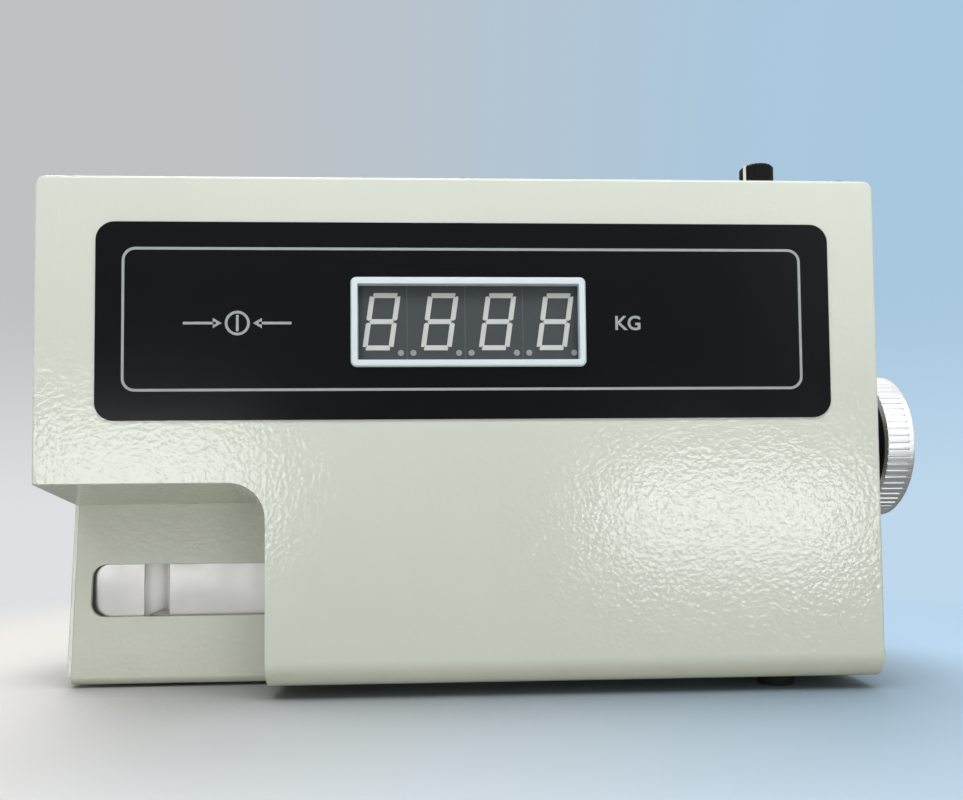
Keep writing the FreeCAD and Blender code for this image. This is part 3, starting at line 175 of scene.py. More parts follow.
# ---- finishes -----------------------------------------------------------------------------------
@dataclass(frozen=True)
class Finish:
    """A surface: its two colours, its gloss and the relief that its making left.

    The relief is depth_mm deep. Under a clear coat it is under_mm deep, or the same where that is 0.
    """

    name: str
    colour: str
    shade: str
    roughness: float
    spread: float = 0.05
    metallic: float = 0.0
    gloss: float = 0.5
    coat: float = 0.0
    coat_roughness: float = 0.1
    depth_mm: float = 0.01
    under_mm: float = 0.0
    patch_mm: float = 18.0

    def relief(self, tree: Tree, place: Socket) -> Socket:
        """Height of the surface, 0 to 1; every kind of finish has its own."""
        raise NotImplementedError(self.name)

    def stain(self, tree: Tree, height: Socket, patches: Socket) -> Socket:
        """How far the colour goes to its shade, 0 to 1."""
        return patches

    def bump(self, tree: Tree, height: Socket, depth_mm: float) -> Socket:
        """Turns the height into a bent normal."""
        inputs = {"Strength": 1.0, "Distance": depth_mm * MM, "Height": height}
        return node(tree, "Bump", {}, inputs).outputs[0]

    def material(self) -> bpy.types.Material:
        """Builds the material, or finds it where it is already there.

        Returns:
            The material, named for the finish.
        """
        found = bpy.data.materials.get(self.name)
        if found:
            return found
        made = bpy.data.materials.new(self.name)
        tree = emptied(made)
        place = node(tree, "TexCoord", {}, {}).outputs["Object"]
        height = self.relief(tree, place)
        patches = noise(tree, place, self.patch_mm, Detail=3.0, Roughness=0.6).outputs[0]
        rough = ramp(tree, patches, 0.3, 0.7, self.roughness - self.spread, self.roughness + self.spread)
        shader = node(tree, "BsdfPrincipled", {}, {
            "Base Color": mixed(tree, self.stain(tree, height, patches), self.colour, self.shade),
            "Roughness": rough, "Metallic": self.metallic, "Specular IOR Level": self.gloss,
            "Normal": self.bump(tree, height, self.under_mm or self.depth_mm), "Coat Weight": self.coat,
            "Coat Roughness": self.coat_roughness, "Coat Normal": self.bump(tree, height, self.depth_mm),
        })
        node(tree, "OutputMaterial", {}, {"Surface": shader.outputs[0]})
        return made


@dataclass(frozen=True)
class WrinkleEnamel(Finish):
    """Stoved enamel that draws up into short wrinkles, so that a low lamp breaks into a net of glints."""

    wrinkle_mm: float = 1.3
    bend: float = 1.4
    grain_share: float = 0.55

    def relief(self, tree: Tree, place: Socket) -> Socket:
        """Short rounded ridges that wander, over a slow swell."""
        bend = noise(tree, place, self.wrinkle_mm / 0.45, Detail=1.0)
        push = node(tree, "VectorMath", {"operation": "MULTIPLY_ADD"},
                    {0: bend.outputs[1], 1: (self.wrinkle_mm * MM * self.bend,) * 3, 2: place}).outputs[0]
        ridge = node(tree, "TexVoronoi", {"feature": "SMOOTH_F1"},
                     {"Vector": push, "Scale": 0.8 / (self.wrinkle_mm * MM), "Smoothness": 0.6})
        grain = noise(tree, push, self.wrinkle_mm, Detail=1.5, Roughness=0.4)
        return node(tree, "Mix", {"data_type": "FLOAT"},
                    {0: self.grain_share, 2: ridge.outputs[0], 3: grain.outputs[0]}).outputs[0]


@dataclass(frozen=True)
class Moulded(Finish):
    """A moulded, rolled or sprayed surface with a fine grain."""

    grain_mm: float = 0.35

    def relief(self, tree: Tree, place: Socket) -> Socket:
        """Fine even grain."""
        return noise(tree, place, self.grain_mm, Detail=2.0, Roughness=0.5).outputs[0]


@dataclass(frozen=True)
class Turned(Finish):
    """Metal from the lathe: fine rings that the tool left round the axis."""

    metallic: float = 1.0
    feed_mm: float = 0.3
    axis: Axis = Axis.X

    def relief(self, tree: Tree, place: Socket) -> Socket:
        """Narrow rings across the axis, a little uneven."""
        stretch = tuple(1.0 if part else 0.02 for part in self.axis.value)
        return streaks(tree, place, stretch, self.feed_mm, 2.0)


@dataclass(frozen=True)
class Ground(Finish):
    """Steel from the grinder: long fine scratches along one direction."""

    metallic: float = 1.0
    scratch_mm: float = 0.2
    axis: Axis = Axis.X

    def relief(self, tree: Tree, place: Socket) -> Socket:
        """Scratches stretched fifty times along the axis."""
        stretch = tuple(0.02 if part else 1.0 for part in self.axis.value)
        return streaks(tree, place, stretch, self.scratch_mm, 3.0)


@dataclass(frozen=True)
class Layered(Finish):
    """Stacked sheets or wound tape: dark joints between even layers."""

    layer_mm: float = 0.5
    axis: Axis = Axis.Y

    def relief(self, tree: Tree, place: Socket) -> Socket:
        """Bands across the axis; a wave is one layer thick."""
        inputs = {"Vector": place, "Scale": math.pi / (10 * self.layer_mm * MM), "Distortion": 0.3}
        settings = {"bands_direction": self.axis.name, "wave_profile": "SIN"}
        return node(tree, "TexWave", settings, inputs).outputs[1]

    def stain(self, tree: Tree, height: Socket, patches: Socket) -> Socket:
        """The joints take the shade."""
        return ramp(tree, height, 0.4, 0.05)


@dataclass(frozen=True)
class Etched(Finish):
    """Glass-cloth board under green resist, with the copper tracks showing through as a lighter green."""

    weave_mm: float = 0.8
    track_mm: float = 2.6

    def relief(self, tree: Tree, place: Socket) -> Socket:
        """The weave of the cloth, as two crossed waves."""
        inputs = {"Vector": place, "Scale": math.pi / (10 * self.weave_mm * MM)}
        warp, weft = (node(tree, "TexWave", {"bands_direction": way}, inputs).outputs[1] for way in "XZ")
        return node(tree, "Math", {"operation": "MAXIMUM"}, {0: warp, 1: weft}).outputs[0]

    def stain(self, tree: Tree, height: Socket, patches: Socket) -> Socket:
        """Tracks run along the cells' edges."""
        place = node(tree, "TexCoord", {}, {}).outputs["Object"]
        cells = node(tree, "TexVoronoi", {"feature": "F1", "distance": "MANHATTAN"},
                     {"Vector": place, "Scale": 1 / (self.track_mm * MM)})
        return ramp(tree, cells.outputs[0], 0.55, 0.6)


# Sheet steel in bone-coloured wrinkle enamel: pale, glossy, with glints only where a lamp is mirrored.
SHELL_ENAMEL = WrinkleEnamel("wrinkle_enamel_on_sheet_steel", "#dadfd4", "#d5dacf", 0.5, spread=0.04,
                             gloss=0.15, coat=0.9, coat_roughness=0.085, depth_mm=0.165, under_mm=0.025,
                             patch_mm=40.0)
# The same enamel, sprayed thinner into the bay, wrinkles flat and dull; darkened as painted shade under the
# hood.
BAY_ENAMEL_WITH_PAINTED_SHADE = WrinkleEnamel("thin_wrinkle_enamel_with_painted_bay_shade", "#c6c9bb", "#c0c3b5", 0.5, spread=0.04,
                           gloss=0.15, coat=0.6, coat_roughness=0.2, depth_mm=0.1, under_mm=0.02,
                           patch_mm=40.0)
# Screen-printed polyester film: a deep black that mirrors the room a little.
LABEL_FILM = Moulded("polyester_label_film", "#0b0e11", "#0d1013", 0.2, spread=0.03, gloss=0.1,
                     depth_mm=0.0015, grain_mm=0.9, patch_mm=30.0)
# Screen ink on the film: dull light grey.
SCREEN_INK = Moulded("screen_printed_ink", "#a9afb2", "#9ba1a5", 0.55, depth_mm=0.004, grain_mm=0.2,
                     patch_mm=6.0)
# Moulded ABS, white with a blue cast: satin, so its bars shade softly.
BEZEL_ABS = Moulded("white_moulded_abs", "#e1ecf3", "#dae6ed", 0.38, depth_mm=0.003, grain_mm=0.4,
                    patch_mm=12.0)
# Epoxy-filled display face, painted grey: flat and even.
DIGIT_FACE = Moulded("grey_painted_display_face", "#363d40", "#32393c", 0.5, depth_mm=0.003, grain_mm=0.3,
                     patch_mm=9.0)
# Diffusing epoxy in the segments: milky, a little glossy.
SEGMENT_EPOXY = Moulded("diffusing_epoxy_segments", "#d0d3d2", "#c8cbca", 0.35, depth_mm=0.004, grain_mm=0.25,
                        patch_mm=4.0)
# The same epoxy, darkened as painted shade for the small round wells that the points sit deep in.
POINT_EPOXY_WITH_PAINTED_SHADE = Moulded("diffusing_epoxy_points_with_painted_shade", "#9aa0a1", "#8f9596", 0.4, depth_mm=0.004, grain_mm=0.25,
                      patch_mm=3.0)
# Epoxy squeezed out where two modules meet: a hair lighter than their faces.
JOINT_EPOXY = Moulded("epoxy_joint", "#50575a", "#4a5154", 0.5, depth_mm=0.003, grain_mm=0.3, patch_mm=5.0)
# Turned aluminium, bright: rings round the rim and a soft long glint.
WHEEL_ALUMINIUM = Turned("turned_aluminium", "#eceae9", "#dfdddd", 0.34, depth_mm=0.004, patch_mm=7.0)
# Moulded phenolic, black: dull with a fine grain.
BLACK_PHENOLIC = Moulded("black_moulded_phenolic", "#101113", "#141517", 0.45, gloss=0.35, depth_mm=0.006,
                         patch_mm=10.0)
# Phenolic of the knob: near black, and duller.
KNOB_PHENOLIC = Moulded("near_black_knob_phenolic", "#060708", "#0a0b0c", 0.5, gloss=0.1, depth_mm=0.006,
                        patch_mm=10.0)
# Phenolic of the wheel's core: nearly no sheen.
CORE_BLACK = Moulded("dull_black_phenolic", "#0a0b0c", "#0f1011", 0.6, gloss=0.25, depth_mm=0.006,
                     patch_mm=10.0)
# Pointer paint filled into a groove: matt white.
POINTER_PAINT = Moulded("white_pointer_paint", "#e4e4de", "#d6d6d0", 0.6, depth_mm=0.004, grain_mm=0.2,
                        patch_mm=3.0)
# Hardened steel, ground on the jaws: a pale satin with long faint scratches.
JAW_STEEL = Ground("ground_and_polished_steel", "#b8b7b5", "#acaba8", 0.36, depth_mm=0.0015, scratch_mm=0.25,
                   patch_mm=14.0)
# The fixed jaw's face that meets the tablet, lapped dull: light from the front spreads over it.
JAW_FACE = Ground("lapped_jaw_face", "#c9c9c6", "#bfbfbc", 0.55, metallic=0.25, gloss=0.3, depth_mm=0.002,
                  scratch_mm=0.3, axis=Axis.Z, patch_mm=9.0)
# Milled steel of the drive: greyer than the jaws, with rings.
DRIVE_STEEL = Turned("milled_steel", "#b4b5b6", "#9c9d9f", 0.33, depth_mm=0.004, patch_mm=9.0)
# Bearing bronze, turned: warm, with rings.
BUSH_BRONZE = Turned("turned_bearing_bronze", "#b58a4e", "#9a7340", 0.34, depth_mm=0.005, patch_mm=8.0)
# Nickel-plated brass: bright and slightly yellow.
PIN_NICKEL = Ground("nickel_plated_brass", "#d6d2c6", "#c2beb2", 0.22, depth_mm=0.001, axis=Axis.Y,
                    patch_mm=4.0)
# Free-turning brass hexagons: yellow, satin.
PILLAR_BRASS = Turned("drawn_brass", "#c9a961", "#b0914f", 0.3, depth_mm=0.003, axis=Axis.Y, patch_mm=4.0)
# Smooth white enamel, thin and flat.
GUARD_ENAMEL = Moulded("smooth_white_enamel", "#ebebe6", "#e2e2dd", 0.4, depth_mm=0.003, grain_mm=0.6,
                       patch_mm=12.0)
# Zinc-plated steel screws: cool grey, satin, a little blotched.
SCREW_ZINC = Moulded("zinc_plated_steel", "#6d7275", "#585d60", 0.36, metallic=1.0, depth_mm=0.004,
                     grain_mm=0.25, patch_mm=2.0)
# Natural rubber with carbon black: dull, with a dusty bloom.
FOOT_RUBBER = Moulded("black_rubber", "#101010", "#181817", 0.78, gloss=0.3, depth_mm=0.02, grain_mm=0.5,
                      patch_mm=3.0)
# Pale zinc primer on the welded frame: flat, with spray texture.
FRAME_PRIMER = Moulded("pale_zinc_primer", "#c9cac6", "#babbb7", 0.6, depth_mm=0.02, grain_mm=0.6,
                       patch_mm=15.0)
# Glass-epoxy board under green resist.
BOARD_LAMINATE = Etched("green_glass_epoxy_board", "#14502c", "#2c7346", 0.3, patch_mm=12.0)
# Filled epoxy of chips, relay and header: dull black.
CHIP_EPOXY = Moulded("black_filled_epoxy", "#191a1c", "#222326", 0.5, depth_mm=0.008, grain_mm=0.3,
                     patch_mm=6.0)
# Varnished core of stacked iron sheets half a millimetre thick.
CORE_SHEETS = Layered("varnished_iron_sheets", "#43423f", "#1d1b19", 0.4, metallic=0.6, depth_mm=0.06)
# Polyester tape over the winding, amber, its turns overlapping every 4 mm.
COIL_TAPE = Layered("amber_polyester_tape", "#c69a2c", "#8f6a18", 0.3, depth_mm=0.05, layer_mm=4.0,
                    axis=Axis.Z)


# ---- choosing faces and edges -------------------------------------------------------------------
def anything(item: Any) -> bool:
    """Passes every vertex, edge or face."""
    return True


def looking(direction: Place) -> Test:
    """A test for faces that look along a direction."""
    return lambda face: face.normal.dot(Vector(direction)) > ALONG


def flat_on(direction: Place, level: float) -> Test:
    """A test for faces that look along a direction and lie at a level along it, in metres."""
    way = Vector(direction)
    return lambda face: looking(direction)(face) and abs(face.calc_center_median().dot(way) - level) < LEVEL


def both_ends(axis: Axis) -> Test:
    """A test for faces that look one way or the other along an axis."""
    return lambda face: abs(face.normal.dot(Vector(axis.value))) > ENDWAYS


def spanning(axis: Axis, length: float) -> Test:
    """A test for edges that reach further than a length along an axis, in metres."""
    return lambda edge: abs((edge.verts[0].co - edge.verts[1].co).dot(Vector(axis.value))) > length


# ---- making pieces ------------------------------------------------------------------------------
class Piece:
    """A mesh under work: shaped in edit mode, finished with modifiers and handed to its body."""

    def __init__(self, name: str, obj: bpy.types.Object) -> None:
        """Takes over an object and gives it its name."""
        self.obj = obj
        self.obj.name = self.obj.data.name = name

    @staticmethod
    def settle() -> None:
        """Deselects everything."""
        bpy.ops.object.select_all(action="DESELECT")

    @classmethod
    def copied(cls, cad_node: str) -> "Piece":
        """Copies a CAD node, merges its loose triangles and joins its flat faces.

        Args:
            cad_node: the node to copy.

        Returns:
            The copy, ready to be eased.
        """
        cls.settle()
        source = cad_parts[cad_node]
        obj = source.copy()
        obj.data = source.data.copy()
        obj.parent = None
        for key in [key for key in obj.keys() if key.startswith("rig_")]:
            del obj[key]
        obj.hide_render = obj.hide_viewport = False
        bpy.context.scene.collection.objects.link(obj)
        piece = cls(cad_node + "_finished", obj).edit(Pick.VERT, anything)
        bpy.ops.mesh.remove_doubles(threshold=WELD)
        bpy.ops.mesh.dissolve_limited(angle_limit=math.radians(FLAT_DEGREES))
        return piece.leave()

    @classmethod
    def block(cls, name: str, low: Place, high: Place) -> "Piece":
        """A box between two corners.

        Args:
            name: name of the new piece.
            low: lowest corner, in metres.
            high: highest corner.

        Returns:
            The piece.
        """
        cls.settle()
        middle = [(a + b) / 2 for a, b in zip(low, high)]
        bpy.ops.mesh.primitive_cube_add(size=1.0, location=middle, scale=[b - a for a, b in zip(low, high)])
        return cls(name, bpy.context.object).baked()

    @classmethod
    def drum(cls, name: str, radius: float, depth: float, middle: Place, sides: int = 48,
             axis: Axis = Axis.Z) -> "Piece":
        """A round piece about an axis.

        Args:
            name: name of the new piece.
            radius: in metres.
            depth: length along the axis, in metres.
            middle: its middle.
            sides: number of sides.
            axis: the direction of its axis.

        Returns:
            The piece.
        """
        cls.settle()
        turn = {Axis.X: (0, math.pi / 2, 0), Axis.Y: (math.pi / 2, 0, 0), Axis.Z: (0, 0, 0)}[axis]
        bpy.ops.mesh.primitive_cylinder_add(vertices=sides, radius=radius, depth=depth, location=middle,
                                            rotation=turn)
        return cls(name, bpy.context.object).baked()

    @classmethod
    def lettered(cls, name: str, words: str, height: float, middle: Place, weight: float,
                 ink: float) -> "Piece":
        """Printed letters that face the front.

        Args:
            name: name of the new piece.
            words: the letters.
            height: height of the capitals, in metres.
            middle: middle of the letters' printed face.
            weight: how far the strokes are widened, for letters one unit high.
            ink: thickness of the print, in metres.

        Returns:
            The letters as a thin mesh.
        """
        cls.settle()
        bpy.ops.object.text_add(location=(0, 0, 0))
        text = bpy.context.object.data
        text.body, text.size, text.extrude, text.offset = words, 1.0, 0.01, weight
        bpy.ops.object.convert(target="MESH")
        piece = cls(name, bpy.context.object)
        low, high = piece.corners()
        scale = height / (high.y - low.y)
        size = Matrix.Diagonal((scale, scale, ink / (high.z - low.z), 1.0))
        stand = Matrix.Translation(middle) @ Matrix.Rotation(math.pi / 2, 4, "X")
        return piece.shifted(stand @ size @ Matrix.Translation(-(low + high) / 2))

    def baked(self) -> "Piece":
        """Puts the object's place into its mesh."""
        self.obj.data.transform(self.obj.matrix_basis)
        self.obj.matrix_basis = Matrix.Identity(4)
        return self

    def shifted(self, matrix: Matrix) -> "Piece":
        """Moves the mesh by a matrix."""
        self.obj.data.transform(matrix)
        return self

    def corners(self) -> tuple[Vector, Vector]:
        """The box round the mesh.

        Returns:
            Its lowest and its highest corner.
        """
        points = [v.co for v in self.obj.data.vertices]
        low, high = (Vector([end(p[i] for p in points) for i in range(3)]) for end in (min, max))
        return low, high

    def alone(self) -> None:
        """Makes the piece the active one and the only one selected."""
        self.settle()
        bpy.context.view_layer.objects.active = self.obj
        self.obj.select_set(True)

    def edit(self, kind: Pick, test: Test) -> "Piece":
        """Enters edit mode and selects what passes a test.

        Args:
            kind: vertices, edges or faces.
            test: takes a bmesh vertex, edge or face.

        Returns:
            The piece, in edit mode.
        """
        self.alone()
        bpy.ops.object.mode_set(mode="EDIT")
        return self.select(kind, test)

    def select(self, kind: Pick, test: Test) -> "Piece":
        """Changes the selection in edit mode.

        Args:
            kind: vertices, edges or faces.
            test: takes a bmesh vertex, edge or face.

        Returns:
            The piece, still in edit mode.
        """
        bpy.ops.mesh.select_mode(type=kind.value)
        bpy.ops.mesh.select_all(action="DESELECT")
        mesh = bmesh.from_edit_mesh(self.obj.data)
        mesh.normal_update()
        for item in {Pick.VERT: mesh.verts, Pick.EDGE: mesh.edges, Pick.FACE: mesh.faces}[kind]:
            if test(item):
                item.select_set(True)
        mesh.select_flush_mode()
        bmesh.update_edit_mesh(self.obj.data)
        return self

    def inset(self, width_mm: float) -> "Piece":
        """Insets the selected faces; stays in edit mode."""
        bpy.ops.mesh.inset(thickness=width_mm * MM)
        return self

    def ringed(self, width_mm: float) -> "Piece":
        """Opens a hole between two selected facing faces and leaves a wall round it; stays in edit mode."""
        self.inset(width_mm)
        bpy.ops.mesh.bridge_edge_loops()
        return self

    def beveled(self, width_mm: float, steps: int) -> "Piece":
        """Rounds the selected edges; stays in edit mode."""
        bpy.ops.mesh.bevel(offset=width_mm * MM, segments=steps, affect="EDGES")
        return self

    def moved(self, x_mm: float, y_mm: float = 0.0, z_mm: float = 0.0) -> "Piece":
        """Moves what is selected; stays in edit mode."""
        bpy.ops.transform.translate(value=(x_mm * MM, y_mm * MM, z_mm * MM))
        return self

    def leave(self) -> "Piece":
        """Leaves edit mode."""
        bpy.ops.object.mode_set(mode="OBJECT")
        return self

    def modifier(self, kind: str, **settings: Any) -> "Piece":
        """Adds a modifier and applies it.

        Args:
            kind: Blender's name of the modifier type.
            settings: its attributes.

        Returns:
            The piece.
        """
        self.alone()
        made = self.obj.modifiers.new(kind.title(), kind)
        for key, value in settings.items():
            setattr(made, key, value)
        bpy.ops.object.modifier_apply(modifier=made.name)
        return self

    def eased(self, width_mm: float, steps: int = 2, angle: float = 35.0) -> "Piece":
        """Rounds the sharp edges and shades the rest smooth.

        Args:
            width_mm: width of the rounded edge.
            steps: faces across it.
            angle: edges sharper than this are rounded, in degrees.

        Returns:
            The piece.
        """
        self.modifier("BEVEL", width=width_mm * MM, segments=steps, limit_method="ANGLE",
                      angle_limit=math.radians(angle), harden_normals=False, use_clamp_overlap=True,
                      miter_outer="MITER_ARC")
        return self.smoothed()

    def smoothed(self) -> "Piece":
        """Shades the bends smooth and keeps the flats flat."""
        self.alone()
        bpy.ops.object.shade_smooth_by_angle(angle=math.radians(SMOOTH_DEGREES))
        return self.modifier("WEIGHTED_NORMAL", keep_sharp=True)

    def cut_by(self, tool: "Piece", operation: str = "DIFFERENCE") -> "Piece":
        """Cuts another piece out of this one and throws the tool away."""
        self.modifier("BOOLEAN", operation=operation, solver="EXACT", object=tool.obj)
        tool.dropped()
        return self

    def kept_in(self, tool: "Piece") -> "Piece":
        """Keeps what lies inside another piece and throws that piece away."""
        return self.cut_by(tool, "INTERSECT")

    def joined(self, others: list["Piece"]) -> "Piece":
        """Takes other pieces into this one's mesh.

        Args:
            others: the pieces that are taken in.

        Returns:
            The piece.
        """
        self.alone()
        for other in others:
            other.obj.select_set(True)
        bpy.ops.object.join()
        return self

    def placed(self, name: str, matrix: Matrix) -> "Piece":
        """Makes a copy with its own mesh; this piece stays as it is.

        Args:
            name: name of the copy.
            matrix: what moves it.

        Returns:
            The copy.
        """
        obj = self.obj.copy()
        obj.data = self.obj.data.copy()
        bpy.context.scene.collection.objects.link(obj)
        return Piece(name, obj).shifted(matrix)

    def dropped(self) -> None:
        """Throws the piece away."""
        bpy.data.objects.remove(self.obj)

    def given(self, body: Body, finish: Finish, slot: str = "", stands_for: tuple[str, ...] = ()) -> "Piece":
        """Hands the piece to its body with its finish.

        Args:
            body: the body that it rides on.
            finish: its surface.
            slot: the record's material slot, or nothing; not used.
            stands_for: CAD nodes that it replaces.

        Returns:
            The piece.
        """
        self.obj.data.materials.clear()
        self.obj.data.materials.append(finish.material())
        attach(self.obj, body.value)
        if stands_for:
            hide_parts(*stands_for)
        faces = len(self.obj.data.polygons)
        LOG.info("%s: %d faces, %s on %s", self.obj.name, faces, finish.name, body.value)
        return self


def ease_nodes(nodes: tuple[str, ...], body: Body, finish: Finish, slot: str, width_mm: float,
               steps: int = 2) -> None:
    """Replaces CAD nodes by copies with rounded edges.

    Args:
        nodes: the CAD nodes, all on one body.
        body: that body.
        finish: their surface.
        slot: the record's material slot.
        width_mm: width of the rounded edges.
        steps: faces across a rounded edge.
    """
    for name in nodes:
        Piece.copied(name).eased(width_mm, steps).given(body, finish, slot, (name,))


def aimed(direction: Vector) -> Matrix:
    """The turn that takes +Z to a direction."""
    return direction.to_track_quat("Z", "Y").to_matrix().to_4x4()


# ---- the tester ---------------------------------------------------------------------------------
@dataclass
class PanScrew:
    """A pan-head screw with a cross recess, modelled once and copied; sizes in millimetres."""

    radius: float = 2.9
    height: float = 1.6
    crown: float = 0.7
    crown_drop: float = 0.385
    slot_length: float = 3.2
    slot_width: float = 0.75
    slot_depth: float = 1.2
    slot_taper: float = 0.45
    ease: float = 0.18

    def pattern(self) -> Piece:
        """The head, standing on the origin and pointing up.

        Returns:
            The pattern, to be copied.
        """
        top, rim = self.height * MM, self.radius * MM - NEAR
        head = Piece.drum("screw_pattern", self.radius * MM, top, (0, 0, top / 2), 40)
        head.edit(Pick.FACE, flat_on(Axis.Z.value, top)).inset(self.crown)
        head.select(Pick.EDGE, lambda edge: all(abs(v.co.z - top) < 0.01 * MM and v.co.xy.length > rim
                                                for v in edge.verts))
        head.moved(0, 0, -self.crown_drop).leave()
        floor = (self.height - self.slot_depth) * MM
        for x, y in ((self.slot_length, self.slot_width), (self.slot_width, self.slot_length)):
            arm = Piece.block("recess", (-x / 2 * MM, -y / 2 * MM, floor), (x / 2 * MM, y / 2 * MM, top + MM))
            arm.edit(Pick.FACE, flat_on((0, 0, -1), -floor))
            bpy.ops.transform.resize(value=(self.slot_taper, self.slot_taper, 1))
            head.cut_by(arm.leave())
        return head.eased(self.ease, 2, 30.0)


@dataclass
class Casing:
    """The folded case with its bay, feet and screws; sizes in millimetres."""

    sheet: float = 1.5
    sheet_ease: float = 0.2
    hood_slope: float = 11.4
    cover_bend: float = 3.0
    edge_round: float = 1.15
    seam_overlap: float = 0.2
    seam_proud: float = 0.02
    seam_depth: float = 1.2
    seam_width: float = 7.5
    seam_foot: float = 9.6
    seam_inside: float = 9.5
    bay_edge: tuple[float, float] = (-60.0, 76.0)
    clear: float = 20.0
    foot_radius: float = 6.9
    foot_taper: float = 0.6
    foot_height: float = 4.0
    foot_recess: float = 3.4
    foot_seat: float = 2.6
    foot_ease: float = 0.35
    screw: PanScrew = field(default_factory=PanScrew)
    screw_inset: float = 10.7
    screw_setback: float = 6.0
    screw_spin: float = 0.7
    tab_setback: float = 14.0
    tab_height: float = 12.0
    flange_screw_pitch: float = 40.0
    frame_screw_xs: tuple[float, float] = (-95.0, 60.0)

    def build(self) -> None:
        """Dresses the sheets and adds the feet and the screws."""
        ease_nodes(("main_shell",), Body.CASE, SHELL_ENAMEL, "shell_paint", self.sheet_ease)
        # The bay wall takes the enamel darkened as painted shade.
        ease_nodes(("bay_wall",), Body.CASE, BAY_ENAMEL_WITH_PAINTED_SHADE, "shell_paint", self.sheet_ease)
        self.cover()
        self.hood()
        self.seam()
        self.feet()
        self.screws()

    def hood(self) -> None:
        """The bay's roof, rebuilt from its upper side, so that its lower side meets the opening's edge."""
        slope = math.radians(self.hood_slope)
        along = Vector((0, math.cos(slope), -math.sin(slope)))
        above = Vector((0, math.sin(slope), math.cos(slope)))
        hood = Piece.copied("bay_hood")
        hood.edit(Pick.FACE, lambda face: not (abs(face.normal.dot(along)) < 0.1 and face.normal.x > -0.1
                                               and face.normal.dot(above) > -0.1))
        bpy.ops.mesh.delete(type="FACE")
        hood.leave().modifier("SOLIDIFY", thickness=self.sheet * MM, offset=1.0)
        hood.smoothed().given(Body.CASE, SHELL_ENAMEL, "shell_paint", ("bay_hood",))

    def cover(self) -> None:
        """The cover, with its front and back edges filed round on the outside."""
        cover = Piece.copied("top_cover")
        low, high = cover.corners()
        turn = self.cover_bend * MM
        middles = [Vector((low.x + turn, high.z - turn)), Vector((high.x - turn, high.z - turn))]

        def outside(vertex: bmesh.types.BMVert) -> bool:
            """Whether a vertex lies on the cover's outer skin."""
            point = vertex.co.xz
            return (min(point.x - low.x, high.x - point.x, high.z - point.y) < 0.02 * MM
                    or any(abs((point - middle).length - turn) < LEVEL and point.y > middle.y
                           for middle in middles))

        cover.edit(Pick.EDGE, lambda edge: all(
            min(v.co.y - low.y, high.y - v.co.y) < 0.005 * MM and outside(v) and v.co.z > low.z + MM
            for v in edge.verts)).beveled(self.edge_round, 4)
        cover.leave().eased(self.sheet_ease).given(Body.CASE, SHELL_ENAMEL, "shell_paint", ("top_cover",))

    def seam(self) -> None:
        """Filler in the groove between the front's bent edges and the cover, rubbed flush and painted."""
        low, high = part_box("top_cover")
        inset_mm = self.edge_round - self.seam_overlap
        inset, reach = inset_mm * MM, self.clear * MM
        band = Piece.block("seam_filler", (low.x + inset, low.y - self.seam_proud * MM, low.z),
                           (high.x - inset, low.y + self.seam_depth * MM, high.z - inset))
        band.edit(Pick.FACE, both_ends(Axis.Y)).ringed(self.seam_width)
        band.select(Pick.EDGE, lambda edge: all(v.co.z > high.z - 2 * inset for v in edge.verts)
                    and spanning(Axis.Y, MM)(edge)).beveled(self.cover_bend - inset_mm, 6).leave()
        bay_right, bay_top = self.bay_edge
        for x, z in ((bay_right * MM, bay_top * MM), (high.x - self.seam_inside * MM, low.z + reach),
                     (high.x + reach, low.z + self.seam_foot * MM)):
            start = (low.x - reach, low.y - reach, low.z - reach)
            band.cut_by(Piece.block("seam_end", start, (x, low.y + reach, z)))
        band.smoothed().given(Body.CASE, SHELL_ENAMEL, "shell_paint")

    def foot_places(self) -> list[tuple[float, float]]:
        """Middles of the four feet, read from their solids.

        Returns:
            X and Y of each, in metres.
        """
        points = [vertex.co.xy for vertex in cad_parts["feet"].data.vertices]
        starts: list[Vector] = []
        for point in points:
            if all((point - other).length >= self.clear * MM for other in starts):
                starts.append(point)
        places = []
        for start in starts:
            near = [point for point in points if (point - start).length < self.clear * MM]
            xs, ys = [p.x for p in near], [p.y for p in near]
            places.append(((min(xs) + max(xs)) / 2, (min(ys) + max(ys)) / 2))
        return places

    def feet(self) -> None:
        """Moulded rubber feet, tapered to the bench, with a well for the screw."""
        height = self.foot_height * MM
        foot = Piece.drum("foot_pattern", self.foot_radius * MM, height, (0, 0, height / 2), 64)
        foot.edit(Pick.FACE, flat_on((0, 0, -1), 0.0))
        narrow = 1 - self.foot_taper / self.foot_radius
        bpy.ops.transform.resize(value=(narrow, narrow, 1))
        foot.inset(self.foot_radius - self.foot_taper - self.foot_recess)
        bpy.ops.mesh.extrude_region_move(TRANSFORM_OT_translate={"value": (0, 0, self.foot_seat * MM)})
        foot.leave().eased(self.foot_ease, 3)
        for index, (x, y) in enumerate(self.foot_places()):
            copy = foot.placed(f"rubber_foot_{index + 1}", Matrix.Translation((x, y, 0)))
            copy.given(Body.CASE, FOOT_RUBBER, "rubber", ("feet",) if index == 0 else ())
        foot.dropped()

